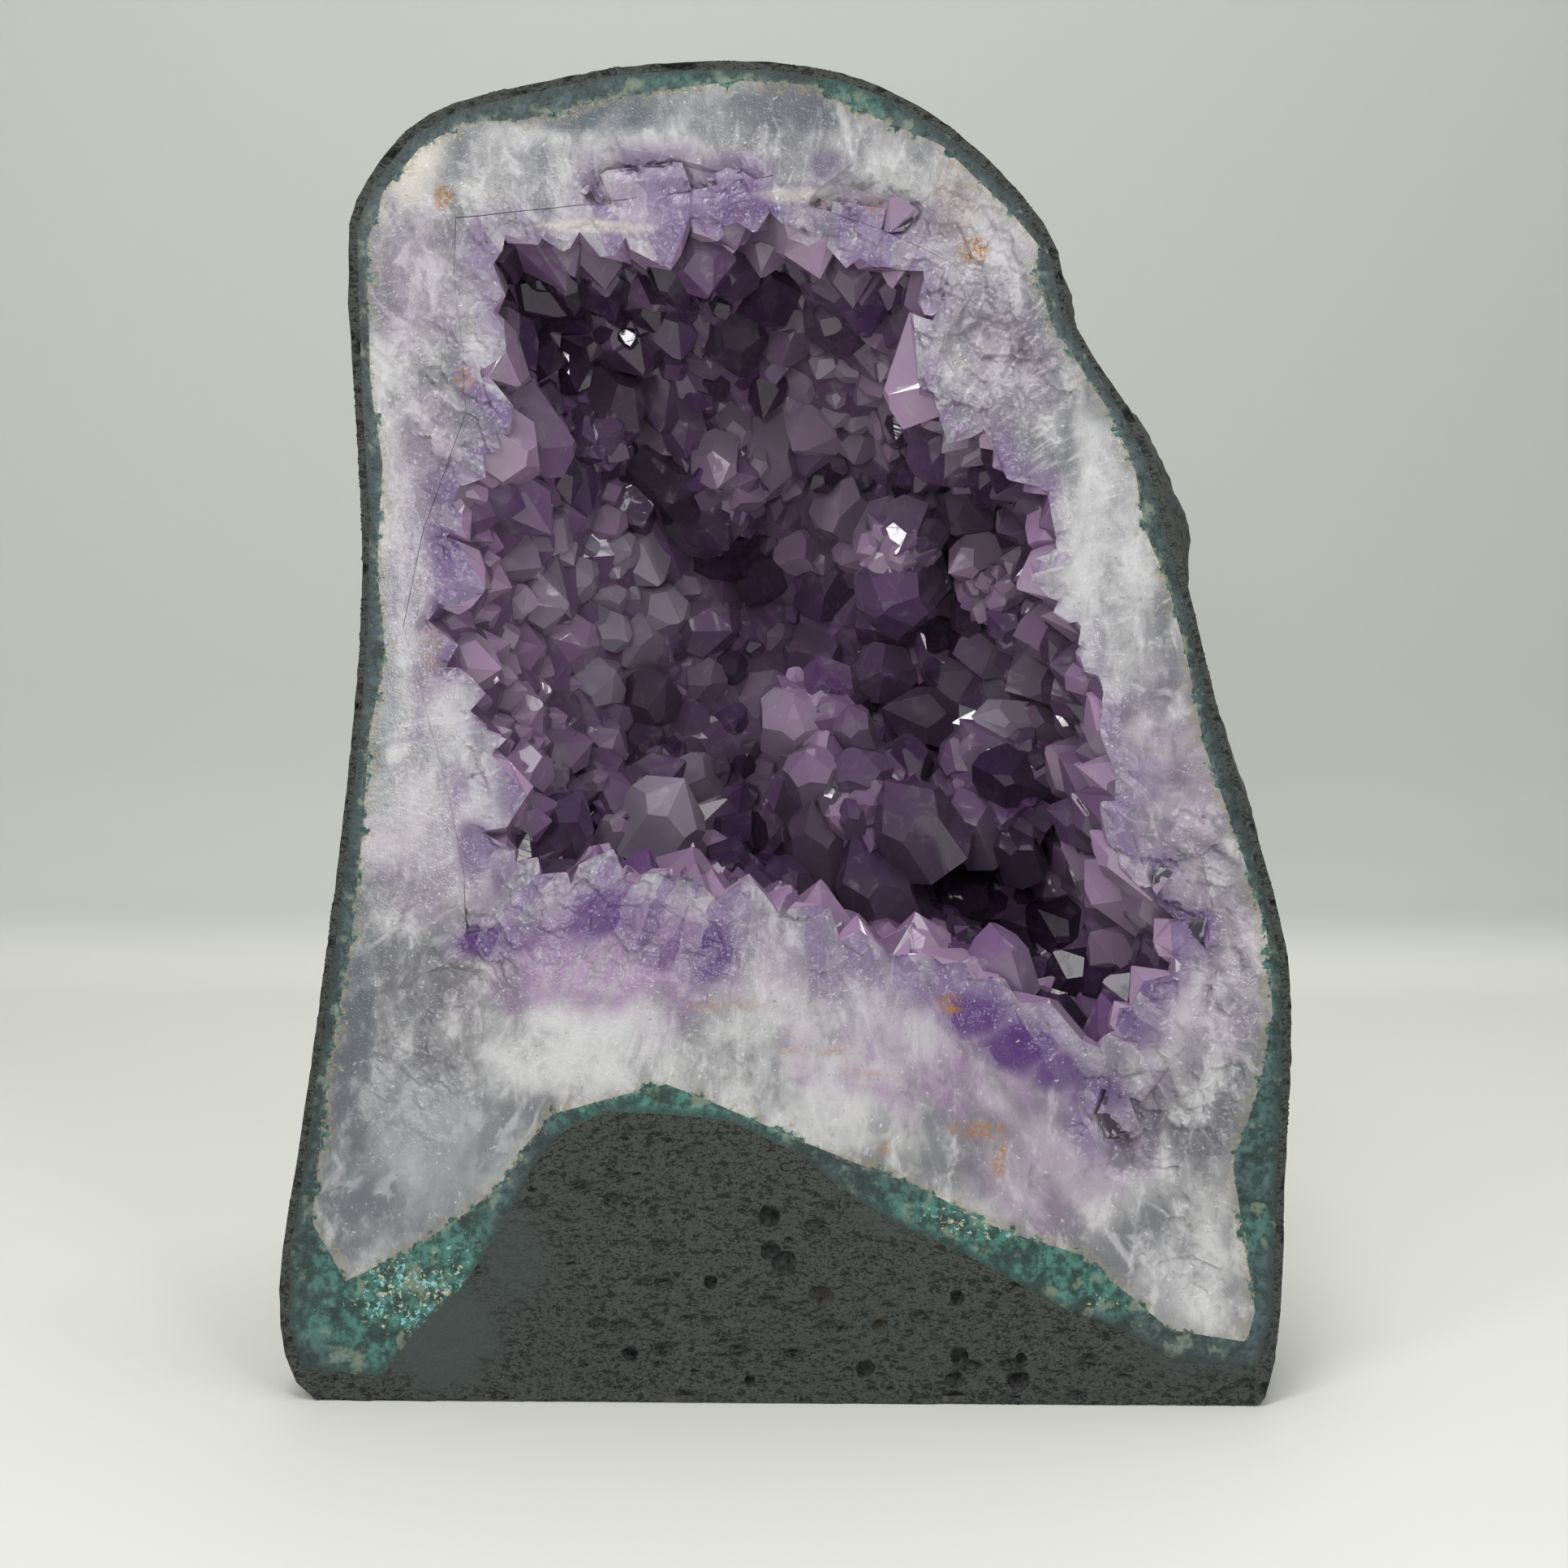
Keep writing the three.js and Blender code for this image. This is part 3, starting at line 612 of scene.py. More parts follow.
def wall_crystals(crust, forms):
    """Crystals of many sizes, close together all over the wall of the hollow"""
    rng = random.Random(WALL_SEED)
    faces = [f for f in crust.faces if f.material_index == HOLLOW]
    areas = [f.calc_area() for f in faces]
    tries = sum(count for _, count in CRYSTAL_SIZES)
    spots = []
    for face in rng.choices(faces, weights=areas, k=tries):
        a, b, c = (v.co for v in face.verts)
        s, t = rng.random(), rng.random()
        if s + t > 1:
            s, t = 1 - s, 1 - t
        spots.append(a + (b - a) * s + (c - a) * t)
    bm = bmesh.new()
    crystal_layers(bm)
    taken = np.zeros((0, 4))
    start = 0
    for size, count in CRYSTAL_SIZES:
        for spot in spots[start:start + count]:
            width = size * rng.uniform(0.88, 1.12)
            if len(taken):
                away = np.linalg.norm(taken[:, :3] - np.array(spot), axis=1)
                if np.any(away < CLOSEST * (taken[:, 3] + width)):
                    continue
            taken = np.vstack([taken, [*spot, width]])
            direction = (inward_at(spot) + random_unit(rng) * rng.uniform(0.1, 0.6)).normalized()
            rise = width * rng.uniform(0.3, 0.62)
            length = width * rng.uniform(1.15, 1.5)
            foot = spot + direction * (rise - length)
            tint, painted_light = wall_tint(spot, rng), wall_painted_light(spot, rng)
            stand_crystal(bm, forms, rng, foot, direction, width, length, tint, painted_light)
        start += count
    return bm


def rosette_crystals(bm, forms):
    """Balls of crystals round a middle inside the crust"""
    rng = random.Random(ROSETTE_SEED)
    for right, depth, up, radius, tint in ROSETTES:
        centre = Vector((right, depth, up))
        count = 34 if radius > 11 else 26
        # Paler rosettes get less painted shade.
        light = 1.0 - 0.5 * tint
        for i in range(count):
            height = 1 - 2 * (i + 0.5) / count
            around = i * math.pi * (3 - math.sqrt(5))
            flat = math.sqrt(1 - height * height)
            direction = Vector((flat * math.cos(around), height, flat * math.sin(around)))
            direction = (direction + random_unit(rng) * 0.3).normalized()
            width = radius * rng.uniform(0.62, 0.9)
            reach = radius * rng.uniform(0.95, 1.12)
            length = width * 1.3
            foot = centre + direction * (reach - length)
            crystal_tint = min(1.0, max(0.0, tint + rng.uniform(-0.15, 0.15)))
            painted_light = light * rng.uniform(0.65, 1.0)
            stand_crystal(bm, forms, rng, foot, direction, width, length, crystal_tint, painted_light)


def lip_crystals(bm, forms):
    """Each large crystal of the lip with three small ones beside it"""
    rng = random.Random(LIP_SEED)
    for right, depth, up, width, length, lean in LIP_CRYSTALS:
        angle = math.radians(lean)
        direction = Vector((math.sin(angle), -0.05, math.cos(angle))).normalized()
        foot = Vector((right, depth, up)) - direction * LIP_FOOT
        tint = rng.uniform(0.45, 0.7)
        # The crystals of the lip get little painted shade.
        stand_crystal(bm, forms, rng, foot, direction, width * 1.06, length + 8.6, tint, 0.9)
        for _ in range(3):
            side = Vector((rng.uniform(-7, 7), rng.uniform(3, 9), rng.uniform(-3, 1)))
            tilt = (direction + random_unit(rng) * 0.35).normalized()
            small = width * rng.uniform(0.45, 0.75)
            height = length + rng.uniform(2, 7)
            tint = rng.uniform(0.4, 0.75)
            stand_crystal(bm, forms, rng, foot + side, tilt, small, height, tint, 0.8)


def trim_at_front(bm):
    """Saws everything off in front of the polished face and closes the cuts"""
    bmesh.ops.bisect_plane(
        bm, geom=bm.verts[:] + bm.edges[:] + bm.faces[:], dist=1e-5,
        plane_co=(0, 0, 0), plane_no=(0, -1, 0), clear_outer=True)
    open_edges = [e for e in bm.edges if e.is_boundary]
    bmesh.ops.holes_fill(bm, edges=open_edges, sides=0)


def parts_of(scratch):
    """An object's loose parts as a collection of objects of their own"""
    bpy.ops.object.select_all(action="DESELECT")
    bpy.context.view_layer.objects.active = scratch
    scratch.select_set(True)
    bpy.ops.object.mode_set(mode="EDIT")
    bpy.ops.mesh.select_all(action="SELECT")
    bpy.ops.mesh.separate(type="LOOSE")
    bpy.ops.object.mode_set(mode="OBJECT")
    parts = bpy.data.collections.new(scratch.name + "_parts")
    for part in bpy.context.selected_objects:
        parts.objects.link(part)
    return parts


def wall_cutter(quartz):
    """The quartz wall, a little clear of the crust and standing out in front of the polished face"""
    cutter = quartz.copy()
    inner = [v for v in cutter.verts if any(f.material_index == HIDDEN for f in v.link_faces)]
    moves = []
    for vertex in inner:
        facing = Vector()
        for face in vertex.link_faces:
            if face.material_index == HIDDEN:
                facing += face.normal * face.calc_area()
        moves.append((vertex, facing.normalized() * -CUT_CLEARANCE))
    for vertex, move in moves:
        vertex.co += move
    for vertex in vertices_in(cutter, FRONT):
        vertex.co.y -= 1.0
    return cutter


def keep_largest(bm):
    """Deletes all loose parts but the one with the most faces"""
    left = dict.fromkeys(bm.faces)
    parts = []
    while left:
        first = next(iter(left))
        del left[first]
        part = [first]
        for face in part:
            for edge in face.edges:
                for other in edge.link_faces:
                    if other in left:
                        del left[other]
                        part.append(other)
        parts.append(part)
    largest = max(parts, key=len)
    rest = [face for part in parts if part is not largest for face in part]
    bmesh.ops.delete(bm, geom=rest, context="FACES")


def grown_together(crust, crystals, quartz):
    """The crust and its crystals joined in one solid that ends where the quartz begins"""
    body = mesh_object("crust_body", crust)
    parts = parts_of(mesh_object("crystals", crystals))
    cutter = wall_cutter(quartz)
    wall = mesh_object("wall_to_cut_away", cutter)
    cutter.free()
    join = body.modifiers.new("join", "BOOLEAN")
    join.operation = "UNION"
    join.solver = "MANIFOLD"
    join.operand_type = "COLLECTION"
    join.collection = parts
    cut = body.modifiers.new("cut", "BOOLEAN")
    cut.operation = "DIFFERENCE"
    cut.solver = "MANIFOLD"
    cut.object = wall
    shaped = body.evaluated_get(bpy.context.evaluated_depsgraph_get())
    joined = bmesh.new()
    joined.from_mesh(shaped.to_mesh())
    shaped.to_mesh_clear()
    for scratch in [body, wall, *parts.objects]:
        mesh = scratch.data
        bpy.data.objects.remove(scratch)
        bpy.data.meshes.remove(mesh)
    bpy.data.collections.remove(parts)
    keep_largest(joined)
    bmesh.ops.triangulate(joined, faces=joined.faces)
    bmesh.ops.dissolve_degenerate(joined, edges=joined.edges, dist=MERGE_DISTANCE)
    bmesh.ops.triangulate(joined, faces=joined.faces)
    joined.normal_update()
    return joined


def tag_crust(bm):
    """Marks the crust's faces as front, wall of the hollow or hidden"""
    for face in bm.faces:
        centre = face.calc_center_median()
        if -face.normal.y > FLAT_SLOPE and centre.y < FLAT_DEPTH:
            face.material_index = FRONT
        elif face.normal.dot(inward_at(centre)) > 0.05:
            face.material_index = HOLLOW
        else:
            face.material_index = HIDDEN


# Materials.


def linear(code):
    """A colour written as six hex digits, as linear light"""
    def channel(value):
        value /= 255
        return value / 12.92 if value <= 0.04045 else ((value + 0.055) / 1.055) ** 2.4
    return tuple(channel(int(code[i:i + 2], 16)) for i in (0, 2, 4)) + (1.0,)


def colours(*codes):
    return [linear(code) for code in codes]


# Colours of the quartz.
CLOUD_DARK, CLOUD_PALE, MIST_DARK, MIST_PALE = colours("74757a", "acabac", "62646c", "cbcacc")
THREAD_DARK, THREAD_PALE, SPECK_DARK, SPECK_PALE = colours("706f76", "d6d3d6", "504f56", "ecebec")
LILAC, INNER_VIOLET, DEEP_VIOLET, CLEAR_GREY = colours("95749c", "755f88", "50306c", "5d5a62")
MILK, SLATE, CREAM, RUST = colours("c9c8ca", "3d4a55", "d0c9c0", "9a6a2c")
CRUMBS, EDGE_DARK, EDGE_GREEN = colours("8f876a", "1f3c38", "46716a")
# Colours of the rind.
SLATE_DARK, SLATE_PALE, GREEN_DARK, GREEN_PALE = colours("2a3a3b", "485a5d", "1f443d", "44796f")
BLOTCH, OLIVE_CLOUD, TEAL_FLECK, CREAM_FLECK = colours("1a2e2c", "7d8a78", "86c0c2", "b3b8a0")
CREAM_BORDER, DARK_BORDER = colours("a79f84", "222a28")
# Colours of the basalt's skin, and the painted shade in its holes.
SKIN_DARK, SKIN_PALE, SKIN_BROWN, SKIN_GREEN = colours("232527", "4c4e4c", "6a665b", "485651")
HOLE_SHADE = linear("121213")
# Colours of the sawn basalt, and the painted shade inside its pits.
SAWN_DARK, SAWN_PALE, SAWN_CLOUD, SAWN_CALM = colours("2a2e2a", "484c47", "3a3f40", "3c4443")
SAWN_FLECK, PIT_SHADE = colours("747772", "080909")
# Colours of the crystals, with the dark violet of their painted shade.
MILKY, PALE_LILAC, VIOLET, VEIL = colours("c8bad2", "d6b2da", "9064a4", "dcd4de")
ROOT_GREY, PAINTED_SHADE = colours("b4a9b8", "2c1f35")
# Colours of the stage.
FLOOR, BACKDROP_LEFT, BACKDROP_RIGHT_SHADED = colours("e9e9e2", "cdd0ca", "b9beb9")


class Nodes:
    """Places and links the nodes of one material"""

    def __init__(self, tree):
        self.tree = tree

    def add(self, kind, values=None, **settings):
        node = self.tree.nodes.new(kind)
        for name, value in settings.items():
            setattr(node, name, value)
        for name, value in (values or {}).items():
            self.put(node.inputs[name], value)
        return node

    def put(self, socket, value):
        """Links a socket to another one, or sets its value"""
        if isinstance(value, bpy.types.NodeSocket):
            self.tree.links.new(value, socket)
        else:
            socket.default_value = value

    def math(self, operation, first, second):
        node = self.add("ShaderNodeMath", operation=operation)
        self.put(node.inputs[0], first)
        self.put(node.inputs[1], second)
        return node.outputs[0]

    def vector_math(self, operation, first, second, output="Vector"):
        node = self.add("ShaderNodeVectorMath", operation=operation)
        self.put(node.inputs[0], first)
        self.put(node.inputs[1], second)
        return node.outputs[output]

    def mix(self, share, first, second):
        node = self.add("ShaderNodeMix", data_type="RGBA", blend_type="MIX")
        self.put(node.inputs[0], share)
        self.put(node.inputs[6], first)
        self.put(node.inputs[7], second)
        return node.outputs[2]

    def span(self, value, low, high, to_low=0.0, to_high=1.0):
        node = self.add("ShaderNodeMapRange", clamp=True, interpolation_type="SMOOTHSTEP")
        for index, number in enumerate((value, low, high, to_low, to_high)):
            self.put(node.inputs[index], number)
        return node.outputs[0]

    def noise(self, place, scale, detail=4.0, rough=0.55, distortion=0.0):
        values = {"Vector": place, "Scale": scale, "Detail": detail, "Roughness": rough,
                  "Distortion": distortion}
        return self.add("ShaderNodeTexNoise", values).outputs[0]

    def cells(self, place, scale):
        return self.add("ShaderNodeTexVoronoi", {"Vector": place, "Scale": scale}).outputs

    def scaled(self, place, factors):
        return self.add("ShaderNodeMapping", {"Vector": place, "Scale": factors}).outputs[0]

    def attribute(self, name, output="Fac"):
        return self.add("ShaderNodeAttribute", attribute_name=name).outputs[output]

    def grey(self, colour):
        return self.add("ShaderNodeRGBToBW", {"Color": colour}).outputs[0]

    def bump(self, height, strength, distance):
        values = {"Height": height, "Strength": strength, "Distance": distance}
        return self.add("ShaderNodeBump", values).outputs[0]


def new_material(name):
    material = bpy.data.materials.new(name)
    material.use_nodes = True
    material.node_tree.nodes.clear()
    nodes = Nodes(material.node_tree)
    shader = nodes.add("ShaderNodeBsdfPrincipled")
    output = nodes.add("ShaderNodeOutputMaterial")
    material.node_tree.links.new(shader.outputs[0], output.inputs[0])
    place = nodes.add("ShaderNodeTexCoord").outputs["Object"]
    millimetres = nodes.scaled(place, (1000, 1000, 1000))
    return material, nodes, shader, millimetres


def quartz_material():
    material, n, shader, place = new_material("polished_quartz")
    wall = n.attribute("wall")
    sway = n.noise(place, 0.14, 1.0)
    fibre = n.vector_math("ADD", n.attribute("fibre", "Vector"), n.scaled(sway, (5, 5, 5)))
    clouds = n.noise(place, 0.06, 2.5, 0.6, 0.5)
    mist = n.noise(n.scaled(place, (1.0, 1.0, 0.6)), 0.17, 4.0, 0.65, 0.4)
    threads = n.noise(fibre, 0.5, 3.0, 0.6)
    columns = n.grey(n.cells(fibre, 0.24)["Color"])
    specks = n.noise(place, 1.0, 3.0, 0.7)
    colour = n.mix(n.span(clouds, 0.38, 0.62), CLOUD_DARK, CLOUD_PALE)
    colour = n.mix(n.span(mist, 0.5, 0.68, 0.0, 0.75), colour, MIST_PALE)
    colour = n.mix(n.span(mist, 0.48, 0.34, 0.0, 0.6), colour, MIST_DARK)
    colour = n.mix(n.span(threads, 0.52, 0.7, 0.0, 0.45), colour, THREAD_PALE)
    colour = n.mix(n.span(threads, 0.48, 0.32, 0.0, 0.4), colour, THREAD_DARK)
    lilac = n.math("MULTIPLY", n.attribute("lilac"), n.span(threads, 0.3, 0.6, 0.4, 0.9))
    colour = n.mix(lilac, colour, LILAC)
    inner = n.math("MULTIPLY", n.span(wall, 0.36, 0.04), n.span(columns, 0.15, 0.75, 0.3, 0.85))
    colour = n.mix(inner, colour, INNER_VIOLET)
    clear = n.math("MULTIPLY", n.attribute("clear"), n.span(mist, 0.62, 0.42, 0.2, 0.9))
    colour = n.mix(clear, colour, CLEAR_GREY)
    milk = n.math("MULTIPLY", n.attribute("milk"), n.span(mist, 0.3, 0.6, 0.35, 0.9))
    colour = n.mix(milk, colour, MILK)
    violet = n.math("MULTIPLY", n.attribute("violet"), n.span(columns, 0.1, 0.7, 0.45, 1.0))
    colour = n.mix(violet, colour, DEEP_VIOLET)
    slate = n.math("MULTIPLY", n.attribute("slate"), n.span(mist, 0.35, 0.6, 0.5, 1.0))
    colour = n.mix(slate, colour, SLATE)
    colour = n.mix(n.math("MULTIPLY", n.attribute("cream"), 0.9), colour, CREAM)
    rust = n.math("MULTIPLY", n.attribute("rust"), n.span(specks, 0.38, 0.6))
    colour = n.mix(rust, colour, RUST)
    colour = n.mix(n.span(specks, 0.62, 0.74, 0.0, 0.5), colour, SPECK_PALE)
    colour = n.mix(n.span(specks, 0.38, 0.28, 0.0, 0.4), colour, SPECK_DARK)
    wander = n.math("MULTIPLY", n.math("SUBTRACT", n.noise(place, 0.35, 3.0, 0.65), 0.5), 7.0)
    reach = n.math("ADD", n.attribute("rind_mm"), wander)
    crumbly = n.math("MULTIPLY", n.span(reach, -1.8, -0.2), n.span(specks, 0.42, 0.55, 0.0, 0.65))
    colour = n.mix(crumbly, colour, CRUMBS)
    green = n.mix(n.span(specks, 0.4, 0.6), EDGE_DARK, EDGE_GREEN)
    colour = n.mix(n.span(reach, -0.3, 0.3), colour, green)
    n.put(shader.inputs["Base Color"], colour)
    n.put(shader.inputs["Roughness"], n.span(mist, 0.35, 0.7, 0.06, 0.32))
    shader.inputs["IOR"].default_value = 1.54
    n.put(shader.inputs["Normal"], n.bump(specks, 0.4, 0.0004))
    return material


def rind_material():
    """Slate greens, vivid in places, with dark blotches, pale flecks and a crumbly cream border"""
    material, n, shader, place = new_material("polished_celadonite")
    fine = n.noise(place, 0.5, 4.0, 0.68)
    blotches = n.noise(place, 0.2, 3.0, 0.6)
    crumbs = n.noise(place, 1.1, 4.0, 0.7, 0.4)
    slate = n.mix(n.span(fine, 0.4, 0.65), SLATE_DARK, SLATE_PALE)
    green = n.mix(n.span(fine, 0.4, 0.62), GREEN_DARK, GREEN_PALE)
    colour = n.mix(n.attribute("vivid"), slate, green)
    colour = n.mix(n.span(blotches, 0.48, 0.62, 0.0, 0.85), colour, BLOTCH)
    colour = n.mix(n.span(n.noise(place, 0.27, 4.0), 0.55, 0.66, 0.0, 0.65), colour, OLIVE_CLOUD)
    least = n.math("SUBTRACT", 0.7, n.math("MULTIPLY", n.attribute("flecks"), 0.17))
    flecks = n.span(n.math("SUBTRACT", crumbs, least), 0.0, 0.06)
    pale = n.mix(n.span(blotches, 0.45, 0.55), TEAL_FLECK, CREAM_FLECK)
    colour = n.mix(flecks, colour, pale)
    border = n.span(n.attribute("quartz_mm"), 1.1, 0.1)
    cream = n.math("MULTIPLY", border, n.span(crumbs, 0.5, 0.62, 0.0, 0.7))
    colour = n.mix(cream, colour, CREAM_BORDER)
    dark = n.math("MULTIPLY", n.span(n.attribute("basalt_mm"), 1.4, 0.1), n.span(fine, 0.4, 0.6, 0.1, 0.9))
    colour = n.mix(dark, colour, DARK_BORDER)
    n.put(shader.inputs["Base Color"], colour)
    n.put(shader.inputs["Roughness"], n.span(fine, 0.35, 0.7, 0.2, 0.45))
    n.put(shader.inputs["Normal"], n.bump(crumbs, 0.35, 0.0005))
    return material


def basalt_skin_material():
    material, n, shader, place = new_material("rough_basalt")
    broad = n.noise(place, 0.05, 2.0)
    grit = n.noise(place, 0.9, 4.0, 0.68)
    colour = n.mix(n.span(grit, 0.35, 0.65), SKIN_DARK, SKIN_PALE)
    colour = n.mix(n.span(broad, 0.5, 0.68, 0.0, 0.5), colour, SKIN_BROWN)
    colour = n.mix(n.span(n.noise(place, 0.09, 3.0), 0.56, 0.7, 0.0, 0.4), colour, SKIN_GREEN)
    holes = n.cells(place, 0.75)["Distance"]
    # Painted shade: the holes are darkened almost to black.
    colour = n.mix(n.span(holes, 0.22, 0.05, 0.0, 0.8), colour, HOLE_SHADE)
    n.put(shader.inputs["Base Color"], colour)
    n.put(shader.inputs["Roughness"], n.span(grit, 0.3, 0.7, 0.8, 0.98))
    height = n.math("ADD", grit, n.span(holes, 0.05, 0.3, 0.0, 0.8))
    n.put(shader.inputs["Normal"], n.bump(height, 0.7, 0.0009))
    return material


def basalt_sawn_material():
    material, n, shader, place = new_material("sawn_basalt")
    grain = n.noise(place, 2.2, 3.0, 0.7)
    calm = n.attribute("calm")
    flat_place = n.scaled(place, (0.6, 1.0, 1.2))
    pitted = n.span(n.noise(flat_place, 0.85, 3.0, 0.72, 0.2), 0.43, 0.37)
    small = n.span(n.noise(flat_place, 1.9, 2.0, 0.7), 0.42, 0.36)
    pits = n.math("MULTIPLY", n.math("MAXIMUM", pitted, small), n.math("SUBTRACT", 1.0, calm))
    colour = n.mix(n.span(grain, 0.38, 0.62), SAWN_DARK, SAWN_PALE)
    colour = n.mix(n.span(n.noise(place, 0.06, 3.0), 0.4, 0.65, 0.0, 0.3), colour, SAWN_CLOUD)
    colour = n.mix(calm, colour, SAWN_CALM)
    colour = n.mix(n.span(n.noise(place, 1.7, 3.0, 0.8), 0.66, 0.74, 0.0, 0.4), colour, SAWN_FLECK)
    # Painted shade: the pits are darkened almost to black.
    colour = n.mix(n.math("MULTIPLY", pits, 0.92), colour, PIT_SHADE)
    n.put(shader.inputs["Base Color"], colour)
    n.put(shader.inputs["Roughness"], n.span(grain, 0.3, 0.7, 0.6, 0.85))
    height = n.math("SUBTRACT", n.math("MULTIPLY", grain, 0.5), pits)
    n.put(shader.inputs["Normal"], n.bump(height, 0.8, 0.0008))
    return material


def amethyst_material():
    material, n, shader, place = new_material("amethyst_crystal")
    tint = n.attribute("tint")
    painted_light = n.attribute("painted_light")
    from_foot = n.vector_math("SUBTRACT", place, n.attribute("foot", "Vector"))
    rise = n.vector_math("DOT_PRODUCT", from_foot, n.attribute("axis", "Vector"), "Value")
    veils = n.noise(place, 0.25, 3.0, 0.65, 0.6)
    colour = n.mix(n.span(tint, 0.0, 0.5), MILKY, PALE_LILAC)
    colour = n.mix(n.span(tint, 0.45, 1.0), colour, VIOLET)
    colour = n.mix(n.span(veils, 0.52, 0.72, 0.0, 0.5), colour, VEIL)
    colour = n.mix(n.span(rise, 0.85, 0.45, 0.0, 0.45), colour, ROOT_GREY)
    # Painted shade: crystals with little painted light are mixed towards a dark violet.
    colour = n.mix(n.span(painted_light, 0.0, 0.75, 0.85, 0.0), colour, PAINTED_SHADE)
    n.put(shader.inputs["Base Color"], colour)
    n.put(shader.inputs["Roughness"], n.span(veils, 0.45, 0.75, 0.03, 0.28))
    shader.inputs["IOR"].default_value = 1.54
    shader.inputs["Transmission Weight"].default_value = 0.5
    stretched = n.math("MULTIPLY", rise, 9.0)
    growth = n.add("ShaderNodeCombineXYZ", {"X": stretched, "Y": tint, "Z": painted_light}).outputs[0]
    n.put(shader.inputs["Normal"], n.bump(n.noise(growth, 2.0, 2.0), 0.06, 0.0003))
    inside = n.add("ShaderNodeVolumeAbsorption", {"Color": (0.5, 0.27, 0.52, 1.0), "Density": 28.0})
    output = next(node for node in material.node_tree.nodes if node.type == "OUTPUT_MATERIAL")
    material.node_tree.links.new(inside.outputs[0], output.inputs["Volume"])
    return material


# The pieces.


def tint_root(crust):
    """The crust between its crystals: violet, darkened a little by painted shade and grown inwards"""
    tint_layer, painted_light_layer, foot_layer, axis_layer = crystal_layers(crust)
    for face in crust.faces:
        centre = face.calc_center_median()
        face[tint_layer] = 0.75
        face[painted_light_layer] = 0.4
        face[axis_layer] = ROW_TURN @ inward_at(centre) / 12
        face[foot_layer] = (TO_ROW @ (centre - inward_at(centre) * 9)) / MM


def hollow_crystals(crust):
    """All the crystals of the hollow, sawn off at the front"""
    rng = random.Random(FORM_SEED)
    forms = [crystal_form(rng) for _ in range(FORM_COUNT)]
    crystals = wall_crystals(crust, forms)
    rosette_crystals(crystals, forms)
    lip_crystals(crystals, forms)
    trim_at_front(crystals)
    for form, _ in forms:
        bpy.data.meshes.remove(form)
    return crystals


def layer_rims(crust, quartz, rind):
    """The outlines on the front of the hollow, the rind and the basalt, as trees of points"""
    crust_rim = tree_of(rim_points(crust))
    quartz_points = rim_points(quartz)
    quartz_rim = tree_of(quartz_points)
    return {
        "hollow": tree_of([p for p in rim_points(crust) if quartz_rim.find(p)[2] > 1.2]),
        "rind": tree_of([p for p in quartz_points if crust_rim.find(p)[2] > 1.0 and p.y < 0.1]),
        "basalt": tree_of([p for p in rim_points(rind) if quartz_rim.find(p)[2] > 0.8]),
    }


def by_region(bm, slots):
    """Turns the regions of a finished mesh into its material slots"""
    for face in bm.faces:
        face.material_index = slots.get(face.material_index, 0)


quartz = cad_copy("quartz_wall")
rind = cad_copy("celadonite_rind")
root = cad_copy("amethyst_crust")
tag_regions(quartz, front_slope=BROKEN_SLOPE, front_depth=BROKEN_DEPTH)
tag_regions(rind)
bmesh.ops.scale(
    root, verts=root.verts, vec=(1 / LAYER_FIT,) * 3, space=Matrix.Translation((0, 0, -AXIS_HEIGHT)))
tag_crust(root)
tint_root(root)
crystals = hollow_crystals(root)
crust = grown_together(root, crystals, quartz)
root.free()
crystals.free()
tag_crust(crust)
rims = layer_rims(crust, quartz, rind)

polished_quartz = quartz_material()
amethyst = amethyst_material()
rough_basalt = basalt_skin_material()
sawn_basalt = basalt_sawn_material()
polished_rind = rind_material()

basalt = shaped_basalt()
(calm_layer,) = layers(basalt, "calm")
for vertex in vertices_in(basalt, FRONT):
    vertex[calm_layer] = zone(SMOOTH_ZONES, vertex.co.x, vertex.co.z)
by_region(basalt, {FRONT: 1})
made_piece("basalt_host", basalt, [rough_basalt, sawn_basalt], "basalt_matrix")

shape_rind(rind, rims)
by_region(rind, {})
made_piece("celadonite_layer", rind, [polished_rind], "celadonite_rind")

shape_quartz(quartz, rims)
by_region(quartz, {})
made_piece("quartz_band", quartz, [polished_quartz], "quartz_wall")

refine_flat(crust, POLISHED_DETAIL)
mark_front(crust, rims)
by_region(crust, {FRONT: 1})
made_piece("amethyst_hollow", crust, [amethyst, polished_quartz], "amethyst_crust")

# Stage, light and camera, in metres.

SWEEP_WIDTH = 6.0
SWEEP_START = -1.6
SWEEP_LENGTH = 4.4
SWEEP_BEND = 0.4  # where the floor starts to curve up, and how tightly
SWEEP_RADIUS = 0.08
SWEEP_ROWS = 120

ROOM_COLOUR = (0.97, 1.0, 0.98, 1)
ROOM_STRENGTH = 0.25
# Name, place, target, width and height, and watts.
LIGHTS = [
    ("key_light", (-0.35, -0.75, 0.95), (0, 0, 0.1), (0.45, 0.3), 2.1),
    ("top_light", (0.1, 0.1, 1.1), (0, 0, 0.1), (0.6, 0.6), 4.2),
    ("fill_light", (0.8, -0.6, 0.45), (0, 0, 0.12), (0.25, 0.2), 1.2),
]
# Small lights that glint on the crystals.
PANEL_PLACES = [(-0.12, -0.85, 0.3), (-0.5, -0.6, 0.5), (0.35, -0.65, 0.55), (-0.1, -0.35, 0.8)]
PANEL_TARGET = (0, 0, 0.14)
PANEL_SIZE = (0.14, 0.11)
PANEL_POWER = 1.0

CAMERA_PLACE = Vector((0.004573, -0.453007, 0.138333))
CAMERA_TARGET = Vector((-0.002391, -0.054043, 0.110430))
CAMERA_LENS = 51.41  # millimetres, as the next one
CAMERA_SENSOR = 36


